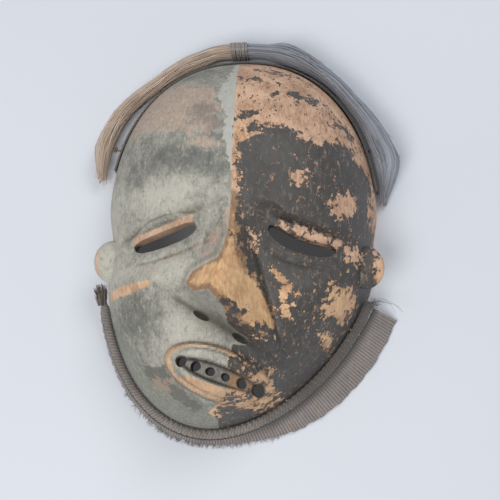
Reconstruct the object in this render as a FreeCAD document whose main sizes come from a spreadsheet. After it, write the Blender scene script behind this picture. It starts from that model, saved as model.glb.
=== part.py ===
"""Carved wooden dance mask, lying on its back with the face upwards.

Units are millimetres. The origin is the middle of the opening that the wearer's face goes into, in the
plane of the rim's back. +Z points out of the face and +Y points to the crown, so -X is the mask's pale side.

The mask is one hollow carving. A sheaf of fibre in two halves is tied round the top of it over a woven
band, and a cloth collar with a rolled welt is tied round the jaw, all through holes drilled near the rim.
"""

import FreeCAD
import Part
import os
from math import asin, atan2, cos, degrees, exp, hypot, pi, radians, sin, sqrt
from FreeCAD import Placement, Rotation, Vector

PARTS_FOLDER = "parts"

# name, value, what it is. Sizes are in millimetres, turns and angles in degrees.
SIZES = [
    ("mask_width", 198.0, "width of the rim at the forehead"),
    ("mask_height", 268.0, "height of the rim from crown to chin"),
    ("dome_depth", 84.0, "height of the plain dome above the rim plane"),
    ("rim_wall", 7.5, "wall at the rim, measured level"),
    ("front_wall", 9.0, "wall at the face, measured upright"),
    ("chin_shift", 23.0, "how far the chin is carved over to the pale side"),
    ("temple_pinch", 4.5, "how far the outline draws in at the temples"),
    ("temple_y", -6.0, "y of the narrowest part of the temples"),
    ("temple_span", 20.0, "half length of the drawn-in part of the outline"),
    ("forehead_bulge", 10.0, "height that the forehead adds to the dome"),
    ("forehead_y", 46.0, "y of the middle of the forehead"),
    ("eye_length", 46.0, "length of an eye slit"),
    ("eye_width", 10.0, "width of an eye slit in its middle"),
    ("eye_end_width", 5.0, "width of an eye slit at its ends"),
    ("pale_eye_x", -47.0, "x of the pale side's slit"),
    ("pale_eye_y", -9.0, "y of the pale side's slit"),
    ("pale_eye_turn", 15.0, "turn of the pale side's slit"),
    ("pale_eye_sag", 2.0, "how far the pale side's slit sags in the middle"),
    ("dark_eye_x", 45.0, "x of the dark side's slit"),
    ("dark_eye_y", -12.0, "y of the dark side's slit"),
    ("dark_eye_turn", -17.0, "turn of the dark side's slit"),
    ("dark_eye_sag", 4.5, "how far the dark side's slit sags in the middle"),
    ("socket_depth", 10.0, "depth of an eye socket"),
    ("pale_brow_rise", 13.5, "from the pale side's slit up to the edge of the brow"),
    ("dark_brow_rise", 17.0, "from the dark side's slit up to the edge of the brow"),
    ("lid_height", 5.0, "how far an upper lid stands out of its socket"),
    ("nose_root_x", 1.0, "x of the top of the nose"),
    ("nose_root_y", 13.0, "y of the top of the nose"),
    ("nose_pale_x", -30.0, "x of the nose's wing on the pale side"),
    ("nose_pale_y", -44.0, "y of the nose's wing on the pale side"),
    ("nose_dark_x", 26.0, "x of the nose's wing on the dark side"),
    ("nose_dark_y", -77.0, "y of the nose's wing on the dark side"),
    ("nose_height", 33.0, "height of the nose's end above the dome"),
    ("nose_underside", 12.0, "length of the slope under the nose, measured level"),
    ("nostril_length", 12.0, "length of a nostril"),
    ("nostril_width", 4.4, "width of a nostril"),
    ("nostril_depth", 12.0, "depth of a nostril's hollow"),
    ("nostril_spread", 29.0, "from the middle of one nostril to the other"),
    ("mouth_x", -10.0, "x of the middle of the mouth"),
    ("mouth_y", -101.0, "y of the middle of the mouth"),
    ("mouth_turn", -20.0, "turn of the mouth"),
    ("mouth_length", 72.0, "length of the lips"),
    ("mouth_width", 32.0, "width of the lips"),
    ("lip_height", 4.5, "how far the lips stand out"),
    ("muzzle_height", 13.0, "how far the skin round the mouth stands out"),
    ("groove_length", 58.0, "length of the groove between the lips"),
    ("groove_width", 13.0, "width of the groove between the lips"),
    ("groove_depth", 5.0, "depth of the groove between the lips"),
    ("tooth_pitch", 10.2, "from one tooth gap to the next"),
    ("tooth_gap_1", 3.8, "radius of the tooth gap at the pale end"),
    ("tooth_gap_2", 3.5, "radius of the second tooth gap"),
    ("tooth_gap_3", 3.1, "radius of the third tooth gap"),
    ("tooth_gap_4", 2.8, "radius of the fourth tooth gap"),
    ("tooth_gap_5", 3.4, "radius of the fifth tooth gap"),
    ("tooth_gap_6", 4.4, "radius of the tooth gap at the dark end"),
    ("chin_height", 11.0, "how far the chin stands out"),
    ("cheek_height", 5.0, "how far a cheek stands out"),
    ("ear_length", 30.0, "length of an ear along the side of the head"),
    ("ear_width", 26.0, "width of an ear, half of which is in the wall"),
    ("ear_thickness", 15.0, "thickness of an ear"),
    ("ear_hollow_share", 0.6, "size of an ear's hollow as a share of the ear"),
    ("ear_z", 37.0, "height of the ears above the rim plane"),
    ("pale_ear_y", -20.0, "y of the pale side's ear"),
    ("dark_ear_y", -27.0, "y of the dark side's ear"),
    ("tie_hole_radius", 1.6, "radius of the holes drilled near the rim"),
    ("strap_hole_radius", 2.2, "radius of the two holes for the wearer's strap"),
    ("strap_hole_z", 12.6, "height of the strap holes above the rim plane"),
    ("pale_strap_hole_y", 12.0, "y of the pale side's strap hole, between the sheaf's end and the ear"),
    ("dark_strap_hole_y", 3.0, "y of the dark side's strap hole, drilled a little lower by eye"),
    ("thread_radius", 0.8, "radius of the tie thread"),
    ("knot_radius", 2.6, "radius of a knot"),
    ("clearance", 0.4, "gap between a soft piece and what it lies against"),
    ("band_gap", 1.0, "gap between the wall and the band's two edges, as the wall swells between them"),
    ("band_thickness", 2.0, "thickness of the woven band under the sheaf"),
    ("band_bottom", 2.0, "height of the band's lower edge"),
    ("band_top", 21.0, "height of the band's upper edge"),
    ("sheaf_height", 26.0, "height of the fibre sheaf"),
    ("sheaf_lean", 9.0, "how far the sheaf leans in over the forehead"),
    ("sheaf_lift", 1.5, "height of the sheaf above the rim plane"),
    ("natural_shoulder", 10.5, "thickness of the undyed half beside the crown"),
    ("natural_middle", 9.0, "thickness of the undyed half in its middle"),
    ("natural_tail", 12.0, "thickness of the undyed half near its end"),
    ("natural_end_share", 0.55, "size of the undyed half's end as a share of its tail"),
    ("natural_flare", 5.5, "how far the undyed half stands off the wall near its end"),
    ("dyed_shoulder", 16.0, "thickness of the dyed half beside the crown"),
    ("dyed_middle", 10.5, "thickness of the dyed half in its middle"),
    ("dyed_tail", 18.0, "thickness of the dyed half near its end"),
    ("dyed_end_share", 0.35, "size of the dyed half's end as a share of its tail"),
    ("dyed_flare", 0.0, "how far the dyed half stands off the wall near its end"),
    ("bound_thickness", 10.0, "thickness of the sheaf inside its binding"),
    ("bound_height", 22.0, "height of the sheaf inside its binding"),
    ("natural_end_angle", 160.0, "where the undyed half ends, round from +X"),
    ("dyed_end_angle", 12.0, "where the dyed half ends, round from +X"),
    ("crown_angle", 91.0, "where the two halves of the sheaf meet"),
    ("crown_gap", 0.4, "angle between the ends of the two halves"),
    ("binding_length", 13.0, "length of the binding along the sheaf"),
    ("binding_thickness", 1.6, "thickness of the binding"),
    ("coif_tie_z", 12.0, "height of the ties that hold the sheaf"),
    ("welt_radius", 3.4, "radius of the collar's rolled welt"),
    ("welt_low_z", 5.4, "height of the welt's middle under the chin"),
    ("welt_high_z", 18.0, "height of the welt's middle at its ends"),
    ("pale_end_angle", 200.0, "where the collar ends on the pale side, round from +X"),
    ("dark_end_angle", 340.0, "where the collar ends on the dark side, round from +X"),
    ("cloth_thickness", 1.8, "thickness of the collar cloth"),
    ("cloth_edge_z", 0.6, "height of the cloth's outer edge above the rim plane"),
    ("pale_cloth_width", 2.5, "width of the cloth beyond the welt on the pale side"),
    ("dark_cloth_width", 19.0, "width of the cloth's flap beyond the welt on the dark side"),
    ("flap_start_angle", 268.0, "where the flap starts to widen, round from +X"),
    ("flap_full_angle", 316.0, "where the flap has its full width, round from +X"),
    ("tuft_length", 13.0, "length of the frayed end of the collar"),
]

# The mask's sizes that the features' places and lengths are given for. They stretch with the mask.
DRAWN_WIDTH = 198.0
DRAWN_HEIGHT = 268.0

# Numbers of the carving's shape that have no unit.
DOME_POWER = 3.1
CROWN_POWER = 2.25
JAW_POWER = 1.9
SHIFT_POWER = 1.6
RIM_STRETCH = 1.25
RELIEF_END = 0.985
RELIEF_FULL = 0.8
OUTER_NET = (69, 93)
INNER_NET = (31, 41)

# The eye sockets and lids. Reaches are shares of half a slit or of the brow's rise, and halves are millimetres.
SOCKET_EDGE = 0.6
SOCKET_BELOW = 2.0
SOCKET_REACH = 1.35
LID_REACH = 1.2
LID_RISE = 3.0
UPPER_LID_HALF = 4.0
LOWER_LID_HALF = 3.5
LOWER_LID_SHARE = 0.35

# The nose. Its ridge and fade are shares of its half width.
NOSE_ROOT_HALF = 5.0
NOSE_RIDGE = -0.15
NOSE_FADE = 1.12
NOSE_POWER = 1.15
BESIDE_NOSE = 12.0

# The mouth, the line down the forehead and the rounded forms: middle, halves and turn, in millimetres.
MUZZLE_HALVES = (50.0, 31.0)
LIP_EDGE = (0.86, 1.1)
GROOVE_EDGE = (0.75, 1.15)
MEDIAN_HEIGHT = 1.2
MEDIAN_HALF = 5.0
MEDIAN_START = (5.0, 30.0)
FOREHEAD_HALVES = (72.0, 56.0)
PALE_CHEEK = (-60.0, -50.0, 26.0, 24.0)
DARK_CHEEK = (58.0, -52.0, 26.0, 24.0)
CHEEK_EDGE = (-75.0, -41.0, 22.0, 5.0, 8.0)
CHEEK_EDGE_HEIGHT = 3.5
CHIN_OUT = (0.85, 0.88)
CHIN_HALVES = (30.0, 15.0)

# The hollow inside, which follows the face loosely.
SOCKET_BACK_SHARE = 0.8
SOCKET_BACK_HALF = 24.0
SOCKET_BACK_DROP = 2.0
MUZZLE_BACK_HALVES = (44.0, 26.0)
MUZZLE_BACK_LESS = 3.0
NOSE_BACK_HALVES = (15.0, 22.0)
NOSE_BACK_SHARE = 0.45
NOSE_BACK_RISE = 10.0
HOLLOW_SKIRT = 5.0

# An ear's dish, as shares of the ear's width and thickness.
DISH_OUT = 0.12
DISH_UP = 0.62

# Where the sheaf changes, as shares of the way from the crown to its end.
SHEAF_NECK = (0.12, 0.25)
SHEAF_SHOULDER = (0.15, 0.5)
SHEAF_SWELL = (0.55, 0.88)
SHEAF_FLARE = (0.45, 0.75)
SHEAF_TAIL = (0.86, 1.0)
BAND_SHORT_OF_END = 3.0

# The collar. Its ends are degrees short of the welt's, and the cloth's crest is a share of the welt's height.
CHIN_ANGLE = 262.0
WELT_POWER = 1.6
WELT_BEYOND = 1.2
CLOTH_CREST = 0.75
CLOTH_SHORT_PALE = 2.0
CLOTH_SHORT_DARK = 1.0
TUFT_OUT = 1.5
TUFT_SPREAD = 1.0
TUFT_NECK = 0.8

KNOT_SLACK = 1.5
COIF_TIE_ANGLES = (150, 124, 62, 28)
COLLAR_TIE_ANGLES = (207, 232, 252, 277, 300, 330)

doc = FreeCAD.newDocument("CarvedMask")
sheet = doc.addObject("Spreadsheet::Sheet", "Sizes")
for row, (alias, value, note) in enumerate(SIZES, 1):
    sheet.set(f"A{row}", alias)
    sheet.set(f"B{row}", str(value))
    sheet.setAlias(f"B{row}", alias)
    sheet.set(f"C{row}", note)
doc.recompute()
size = {alias: float(sheet.get(alias)) for alias, value, note in SIZES}


# ---------------------------------------------------------------- helpers


def feature(name, shape):
    """A Part::Feature that holds a shape made with Part's own functions."""
    made = doc.addObject("Part::Feature", name)
    made.Shape = shape
    return made


def bound(kind, name, placement, **formulas):
    """A Part primitive whose sizes are bound to the sheet's cells by expressions."""
    made = doc.addObject(kind, name)
    for prop, formula in formulas.items():
        made.setExpression(prop, formula)
    made.Placement = placement
    return made


def fused(name, pieces):
    made = doc.addObject("Part::MultiFuse", name)
    made.Shapes = pieces
    return made


def cut(name, base, tool):
    made = doc.addObject("Part::Cut", name)
    made.Base = base
    made.Tool = tool
    return made


def group(name, pieces):
    """Separate solids of the same kind that share one node."""
    made = doc.addObject("Part::Compound", name)
    made.Links = pieces
    return made


def ease(low, high, at):
    """0 up to low and 1 from high on, with a smooth change between. It runs downhill where high < low."""
    share = min(1.0, max(0.0, (at - low) / (high - low)))
    return share * share * (3 - 2 * share)


def turned(x, y, turn):
    """x and y as seen along axes that are turned by that many degrees."""
    c = cos(radians(turn))
    s = sin(radians(turn))
    return x * c + y * s, y * c - x * s


def hill(x, y, mid_x, mid_y, half_x, half_y, turn=0.0):
    """A smooth round hill of height 1."""
    along, across = turned(x - mid_x, y - mid_y, turn)
    return exp(-((along / half_x) ** 2) - (across / half_y) ** 2)


# ---------------------------------------------------------------- outline and dome


def outline_reach(sine, cosine):
    """How far the outline reaches in a direction, as a share of its half sizes."""
    power = JAW_POWER + (CROWN_POWER - JAW_POWER) * ease(-0.6, 0.6, sine)
    return (abs(cosine) ** power + abs(sine) ** power) ** (-1 / power)


def carved_over(x, y):
    """Moves a point of the plain outline to where the twisted jaw and the drawn-in temples put it."""
    low = max(0.0, -y) / (size["mask_height"] / 2)
    pinch = exp(-(((y - size["temple_y"]) / size["temple_span"]) ** 2))
    side = x / (size["mask_width"] / 2)
    return x - size["chin_shift"] * low**SHIFT_POWER - size["temple_pinch"] * pinch * side, y


def outline_point(angle, share=1.0, inset=0.0):
    """Point at that share of the way out to the outline, which can be moved inwards by inset."""
    c = cos(radians(angle))
    s = sin(radians(angle))
    reach = outline_reach(s, c) * share
    half_x = size["mask_width"] / 2 - inset
    half_y = size["mask_height"] / 2 - inset
    return carved_over(reach * c * half_x, reach * s * half_y)


def outwards(angle):
    """Level direction straight out of the wall."""
    x0, y0 = outline_point(angle - 0.5)
    x1, y1 = outline_point(angle + 0.5)
    return Vector(y1 - y0, x0 - x1, 0).normalize()


def wall_point(angle, away=0.0, z=0.0):
    """Point at a height beside the outer wall, that far away from it."""
    share = (1 - (z / size["dome_depth"]) ** 2) ** (1 / DOME_POWER)
    x, y = outline_point(angle, share)
    return Vector(x, y, z) + outwards(angle) * away


# ---------------------------------------------------------------- the carved face


def stretch():
    """How much wider and higher the mask is than it was drawn."""
    return size["mask_width"] / DRAWN_WIDTH, size["mask_height"] / DRAWN_HEIGHT


def as_drawn(x, y):
    """Where a point of the mask lies on the drawing of its features."""
    wider, higher = stretch()
    return x / wider, y / higher


def on_mask(x, y):
    """Where a point of the drawing lies on the mask."""
    wider, higher = stretch()
    return x * wider, y * higher


def eye_place(x, y, side):
    """Where a point lies along and across an eye slit, measured from the slit's sagging line."""
    along, across = turned(x - size[side + "_eye_x"], y - size[side + "_eye_y"], size[side + "_eye_turn"])
    sag = size[side + "_eye_sag"] * max(0.0, 1 - (2 * along / size["eye_length"]) ** 2)
    return along, across + sag


def eye_relief(x, y, side):
    """Height that the socket, the brow's edge and the lids of one eye add."""
    along, across = eye_place(x, y, side)
    half = size["eye_length"] / 2
    brow = size[side + "_brow_rise"]
    if across > 0:
        hollow = 1 - ease(brow * SOCKET_EDGE, brow, across)
    else:
        hollow = 1 - ease(0.0, -brow * SOCKET_BELOW, across)
    window = exp(-((along / (half * SOCKET_REACH)) ** 4))
    lid_window = max(0.0, 1 - (along / (half * LID_REACH)) ** 2)
    lid_middle = size["eye_width"] / 2 + LID_RISE
    upper = exp(-(((across - lid_middle) / UPPER_LID_HALF) ** 2))
    lower = LOWER_LID_SHARE * exp(-(((across + lid_middle) / LOWER_LID_HALF) ** 2))
    return -size["socket_depth"] * hollow * window + size["lid_height"] * (upper + lower) * lid_window


def nose_frame():
    """The nose's root, the level directions along and across it, its length and where its sides are."""
    root = Vector(size["nose_root_x"], size["nose_root_y"], 0)
    pale = Vector(size["nose_pale_x"], size["nose_pale_y"], 0)
    dark = Vector(size["nose_dark_x"], size["nose_dark_y"], 0)
    across = (dark - pale).normalize()
    down = Vector(across.y, -across.x, 0)
    return root, down, across, (pale - root).dot(down), (pale - root).dot(across), (dark - root).dot(across)


def nose_relief(x, y, frame):
    """Height that the wedge of the nose adds."""
    root, down, across, length, pale_side, dark_side = frame
    point = Vector(x, y, 0) - root
    share = point.dot(down) / length
    if share <= 0:
        return 0.0
    half = share * (dark_side - pale_side) / 2 + NOSE_ROOT_HALF * max(0.0, 1 - share)
    side = (point.dot(across) - share * (pale_side + dark_side) / 2) / half
    beyond = side - NOSE_RIDGE
    off = -beyond / (1 + NOSE_RIDGE) if beyond < 0 else beyond / (1 - NOSE_RIDGE)
    under = 1 - ease(1.0, 1.0 + size["nose_underside"] / length, share)
    return size["nose_height"] * min(1.0, share) ** NOSE_POWER * (1 - ease(0.0, NOSE_FADE, off)) * under


def mouth_relief(x, y):
    """Height that the muzzle, the lips and the groove between them add."""
    along, across = turned(x - size["mouth_x"], y - size["mouth_y"], size["mouth_turn"])
    muzzle = hill(along, across, 0, 0, *MUZZLE_HALVES)
    lips = hypot(2 * along / size["mouth_length"], 2 * across / size["mouth_width"])
    groove = hypot(2 * along / size["groove_length"], 2 * across / size["groove_width"])
    return (
        size["muzzle_height"] * muzzle
        + size["lip_height"] * (1 - ease(*LIP_EDGE, lips))
        - size["groove_depth"] * (1 - ease(*GROOVE_EDGE, groove))
    )


def broad_relief(x, y):
    """Height of the broad forms, which the hollow inside follows too."""
    forehead = size["forehead_bulge"] * hill(x, y, 0, size["forehead_y"], *FOREHEAD_HALVES)
    cheeks = size["cheek_height"] * (hill(x, y, *PALE_CHEEK) + hill(x, y, *DARK_CHEEK))
    chin_x = -size["chin_shift"] * CHIN_OUT[0]
    chin = size["chin_height"] * hill(x, y, chin_x, -DRAWN_HEIGHT / 2 * CHIN_OUT[1], *CHIN_HALVES)
    return forehead + cheeks + chin


def face_relief(x, y, frame):
    """Height of the whole carving above the plain dome."""
    x, y = as_drawn(x, y)
    median = MEDIAN_HEIGHT * exp(-((x / MEDIAN_HALF) ** 2)) * ease(*MEDIAN_START, y)
    cheek_edge = CHEEK_EDGE_HEIGHT * hill(x, y, *CHEEK_EDGE)
    nose = nose_relief(x, y, frame)
    eyes = eye_relief(x, y, "pale") + eye_relief(x, y, "dark")
    beside_nose = 1 - ease(0.0, BESIDE_NOSE, nose)
    return broad_relief(x, y) + median + cheek_edge + nose + eyes * beside_nose + mouth_relief(x, y)


def hollow_relief(x, y, frame):
    """Height that the hollow inside follows: the broad forms, the sockets, and part of the nose and muzzle."""
    x, y = as_drawn(x, y)
    sockets = 0.0
    for side in ("pale", "dark"):
        mid_y = size[side + "_eye_y"] - SOCKET_BACK_DROP
        half_x = size["eye_length"] * SOCKET_BACK_SHARE
        turn = size[side + "_eye_turn"]
        sockets += hill(x, y, size[side + "_eye_x"], mid_y, half_x, SOCKET_BACK_HALF, turn)
    muzzle = hill(x, y, size["mouth_x"], size["mouth_y"], *MUZZLE_BACK_HALVES, size["mouth_turn"])
    nose_x = (size["nose_pale_x"] + size["nose_dark_x"]) / 2
    nose_y = (size["nose_pale_y"] + size["nose_dark_y"]) / 2
    nose = hill(x, y, nose_x, nose_y + NOSE_BACK_RISE, *NOSE_BACK_HALVES)
    return (
        broad_relief(x, y)
        - size["socket_depth"] * min(1.0, sockets)
        + (size["muzzle_height"] - MUZZLE_BACK_LESS) * muzzle
        + size["nose_height"] * NOSE_BACK_SHARE * nose
    )


def dome_solid(net_size, inset, lowering, relief, skirt):
    """Closed solid under a carved dome: a spline through a square net that is bent to the outline."""
    columns, rows = net_size
    depth = size["dome_depth"] - lowering
    frame = nose_frame()
    net = []
    for i in range(columns):
        line = []
        for j in range(rows):
            u = -1 + 2 * i / (columns - 1)
            v = -1 + 2 * j / (rows - 1)
            a = u * sqrt(1 - v * v / 2)
            b = v * sqrt(1 - u * u / 2)
            out = min(1.0, hypot(a, b))
            share = RIM_STRETCH * out - (RIM_STRETCH - 1) * out**5
            x, y = outline_point(degrees(atan2(b, a)), share, inset)
            dome = depth * sqrt(max(0.0, 1 - share**DOME_POWER))
            at_rim = i in (0, columns - 1) or j in (0, rows - 1)
            z = 0.0 if at_rim else dome + ease(RELIEF_END, RELIEF_FULL, share) * relief(x, y, frame)
            line.append(Vector(x, y, z))
        net.append(line)
    surface = Part.BSplineSurface()
    surface.interpolate(net)
    top = surface.toShape()
    edge = Part.Wire(Part.__sortEdges__(top.Edges))
    faces = [top]
    if skirt:
        faces += edge.extrude(Vector(0, 0, -skirt)).Faces
        edge = edge.translated(Vector(0, 0, -skirt))
    faces.append(Part.makeFace(edge, "Part::FaceMakerSimple"))
    shell = Part.makeShell(faces)
    shell.sewShape()
    solid = Part.makeSolid(shell)
    if solid.Volume < 0:
        solid.reverse()
    return solid


def share_at(x, y):
    """How far out a point of the face lies, as a share of the way to the outline."""
    low = max(0.0, -y) / (size["mask_height"] / 2)
    pinch = size["temple_pinch"] * exp(-(((y - size["temple_y"]) / size["temple_span"]) ** 2))
    plain_x = (x + size["chin_shift"] * low**SHIFT_POWER) / (1 - pinch / (size["mask_width"] / 2))
    a = plain_x / (size["mask_width"] / 2)
    b = y / (size["mask_height"] / 2)
    out = hypot(a, b)
    return out / outline_reach(b / out, a / out)


def face_z(x, y):
    """Height of the carved face over a point."""
    share = share_at(x, y)
    dome = size["dome_depth"] * sqrt(1 - share**DOME_POWER)
    return dome + ease(RELIEF_END, RELIEF_FULL, share) * face_relief(x, y, nose_frame())


def slit_cutter(side):
    """Upright prism of an eye slit: two bowed edges with blunt ends."""
    wider, higher = stretch()
    half = size["eye_length"] / 2 * wider
    sag = size[side + "_eye_sag"] * higher
    end = size["eye_end_width"] / 2 * higher
    middle = size["eye_width"] / 2 * higher
    upper = Part.Arc(Vector(-half, end, 0), Vector(0, middle - sag, 0), Vector(half, end, 0))
    lower = Part.Arc(Vector(half, -end, 0), Vector(0, -middle - sag, 0), Vector(-half, -end, 0))
    ends = [
        Part.LineSegment(Vector(half, end, 0), Vector(half, -end, 0)),
        Part.LineSegment(Vector(-half, -end, 0), Vector(-half, end, 0)),
    ]
    wire = Part.Wire([upper.toShape(), ends[0].toShape(), lower.toShape(), ends[1].toShape()])
    made = feature(side + "_slit", Part.Face(wire).extrude(Vector(0, 0, 2 * size["dome_depth"])))
    place = Vector(*on_mask(size[side + "_eye_x"], size[side + "_eye_y"]), 0)
    made.Placement = Placement(place, Rotation(Vector(0, 0, 1), size[side + "_eye_turn"]))
    return made


def nostril_cutters():
    """Two long hollows at the foot of the slope under the nose."""
    root, down, across, length, pale_side, dark_side = nose_frame()
    middle = root + down * (length + size["nose_underside"]) + across * ((pale_side + dark_side) / 2)
    turn = degrees(atan2(across.y, across.x))
    made = []
    for sign, name in ((-1, "pale_nostril"), (1, "dark_nostril")):
        drawn = middle + across * (sign * size["nostril_spread"] / 2)
        x, y = on_mask(drawn.x, drawn.y)
        place = Vector(x, y, face_z(x, y))
        made.append(bound(
            "Part::Ellipsoid", name, Placement(place, Rotation(Vector(0, 0, 1), turn)),
            Radius1="Sizes.nostril_depth / 2", Radius2="Sizes.nostril_length / 2",
            Radius3="Sizes.nostril_width / 2",
        ))
    return made


def tooth_cutters():
    """Six round gaps between the teeth, bored right through along the groove between the lips."""
    made = []
    for number in range(1, 7):
        along = (number - 3.5) * size["tooth_pitch"]
        x, y = turned(along, 0, -size["mouth_turn"])
        place = Vector(*on_mask(size["mouth_x"] + x, size["mouth_y"] + y), 0)
        made.append(bound(
            "Part::Cylinder", f"tooth_gap_{number}", Placement(place, Rotation()),
            Radius=f"Sizes.tooth_gap_{number}", Height="2 * Sizes.dome_depth",
        ))
    return made


def hole_cutters():
    """Holes through the wall for the ties of the coif and the collar."""
    made = []
    for number, (angle, z) in enumerate(tie_places(), 1):
        direction = outwards(angle)
        start = wall_point(angle, -3 * size["rim_wall"], z)
        made.append(bound(
            "Part::Cylinder", f"tie_hole_{number}", Placement(start, Rotation(Vector(0, 0, 1), direction)),
            Radius="Sizes.tie_hole_radius", Height="5 * Sizes.rim_wall",
        ))
    return made


def strap_cutters():
    """A hole through each side wall for the wearer's strap."""
    made = []
    for sign, side in ((-1, "pale"), (1, "dark")):
        angle = degrees(asin(size[side + "_strap_hole_y"] / (size["mask_height"] / 2)))
        wall = wall_point(180 - angle if sign < 0 else angle, 0, size["strap_hole_z"])
        start = wall - Vector(sign * 3 * size["rim_wall"], 0, 0)
        turn = Rotation(Vector(0, 0, 1), Vector(sign, 0, 0))
        made.append(bound(
            "Part::Cylinder", side + "_strap_hole", Placement(start, turn),
            Radius="Sizes.strap_hole_radius", Height="5 * Sizes.rim_wall",
        ))
    return made


def tie_places():
    coif = [(angle, size["coif_tie_z"]) for angle in COIF_TIE_ANGLES]
    collar = [(angle, welt_z(angle)) for angle in COLLAR_TIE_ANGLES]
    return coif + collar


def ears():
    """Half-round ears that stand out of the side walls, each with a dished front."""
    made = []
    for sign, side in ((-1, "pale"), (1, "dark")):
        y = size[side + "_ear_y"]
        angle = degrees(asin(y / (size["mask_height"] / 2)))
        wall = wall_point(180 - angle if sign < 0 else angle, 0, size["ear_z"])
        ear = bound(
            "Part::Ellipsoid", side + "_ear_body", Placement(wall, Rotation()),
            Radius1="Sizes.ear_thickness / 2", Radius2="Sizes.ear_width / 2", Radius3="Sizes.ear_length / 2",
        )
        dish_place = wall + Vector(sign * size["ear_width"] * DISH_OUT, 0, size["ear_thickness"] * DISH_UP)
        dish = bound(
            "Part::Ellipsoid", side + "_ear_dish", Placement(dish_place, Rotation()),
            Radius1="Sizes.ear_thickness / 2 * Sizes.ear_hollow_share",
            Radius2="Sizes.ear_width / 2 * Sizes.ear_hollow_share",
            Radius3="Sizes.ear_length / 2 * Sizes.ear_hollow_share",
        )
        made.append(cut(side + "_ear", ear, dish))
    return made


def face_shell():
    """The carving: a dome with its ears, hollowed from behind, pierced at the eyes, teeth, nose and rim."""
    block = feature("carved_block", dome_solid(OUTER_NET, 0.0, 0.0, face_relief, 0.0))
    hollow = feature("hollow", dome_solid(INNER_NET, size["rim_wall"], size["front_wall"], hollow_relief, HOLLOW_SKIRT))
    carving = fused("carving", [block] + ears())
    openings = [slit_cutter("pale"), slit_cutter("dark")] + nostril_cutters() + tooth_cutters()
    openings += hole_cutters() + strap_cutters()
    return cut("face_shell", carving, fused("hollow_and_openings", [hollow] + openings))


# ---------------------------------------------------------------- the coif


def oval_wire(middle, side, up, wide, high):
    """Closed oval in four arcs, which keep a loft through many of them from twisting."""
    circle = Part.Circle(Vector(0, 0, 0), Vector(0, 0, 1), 1.0)
    arcs = [Part.ArcOfCircle(circle, k * pi / 2, (k + 1) * pi / 2).toShape() for k in range(4)]
    stretch = FreeCAD.Matrix(side * (wide / 2), up * (high / 2), side.cross(up), middle)
    return Part.Wire(arcs).transformGeometry(stretch)


def sheaf_axes(angle):
    """Directions across and up the sheaf, which leans in over the forehead."""
    lean = radians(size["sheaf_lean"])
    normal = outwards(angle)
    up = Vector(0, 0, 1) * cos(lean) - normal * sin(lean)
    side = normal * cos(lean) + Vector(0, 0, 1) * sin(lean)
    return side, up


def sheaf_middle(angle, away, z):
    """Middle of the sheaf's section at one place, that far away from the wall."""
    middle = wall_point(angle, away, 0)
    middle.z = z
    return middle


def sheaf_share(angle, side):
    """How far along a half of the sheaf an angle lies, 0 at the crown and 1 at the half's end."""
    return abs(angle - size["crown_angle"]) / abs(size[side + "_end_angle"] - size["crown_angle"])


def sheaf_thickness(share, side):
    """Thickness of one half of the sheaf before its neck and its tail are drawn in."""
    shoulder = size[side + "_shoulder"]
    middle = size[side + "_middle"]
    tail = size[side + "_tail"]
    return (
        shoulder + (middle - shoulder) * ease(*SHEAF_SHOULDER, share)
        + (tail - middle) * ease(*SHEAF_SWELL, share)
    )


def sheaf_gap(share, side):
    """Distance from the wall to one half of the sheaf."""
    beside_band = size["band_gap"] + size["band_thickness"] + size["clearance"]
    return beside_band + size[side + "_flare"] * ease(*SHEAF_FLARE, share)


def sheaf_half(side):
    """Half of the fibre sheaf, from its neck at the crown to its end, with pockets for the ties' knots."""
    ovals = []
    count = 24
    crown = size["crown_angle"]
    end = size[side + "_end_angle"]
    for step in range(count + 1):
        share = step / count
        angle = crown + (end - crown) * share
        if step == 0:
            angle += size["crown_gap"] / 2 * (1 if end > crown else -1)
        neck = 1 - ease(*SHEAF_NECK, share)
        tail = 1 - (1 - size[side + "_end_share"]) * ease(*SHEAF_TAIL, share)
        thickness = sheaf_thickness(share, side)
        wide = (thickness + (size["bound_thickness"] - thickness) * neck) * tail
        high = (size["sheaf_height"] + (size["bound_height"] - size["sheaf_height"]) * neck) * tail
        away = sheaf_gap(share, side) + (size["binding_thickness"] + size["clearance"]) * neck
        middle_z = size["sheaf_lift"] + high / 2 + (size["sheaf_height"] - size["bound_height"]) / 2 * neck
        middle = sheaf_middle(angle, away + wide / 2, middle_z)
        ovals.append(oval_wire(middle, *sheaf_axes(angle), wide, high))
    half = feature(side + "_half", Part.makeLoft(ovals, True))
    pockets = []
    for angle in COIF_TIE_ANGLES:
        if (angle > crown) == (end > crown):
            radius = size["knot_radius"] + size["clearance"]
            reach = knot_reach(angle) + radius
            start = wall_point(angle, 0, size["coif_tie_z"])
            pockets.append(Part.makeCylinder(radius, reach, start, outwards(angle)))
    return cut("coif_" + side, half, feature(side + "_pockets", Part.makeCompound(pockets)))


def knot_reach(angle):
    """Distance from the wall to a tie's outer knot, which sits in the inner third of the sheaf."""
    side = "natural" if angle > size["crown_angle"] else "dyed"
    share = sheaf_share(angle, side)
    return sheaf_gap(share, side) + sheaf_thickness(share, side) / 3


def coif_natural():
    return sheaf_half("natural")


def coif_dyed():
    return sheaf_half("dyed")


def band_section(angle):
    """Strip of band at one place, which leans in with the wall."""
    near = size["band_gap"]
    far = near + size["band_thickness"]
    low = size["band_bottom"]
    high = size["band_top"]
    corners = [
        wall_point(angle, near, low), wall_point(angle, far, low),
        wall_point(angle, far, high), wall_point(angle, near, high),
    ]
    return Part.makePolygon(corners + corners[:1])


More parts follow.
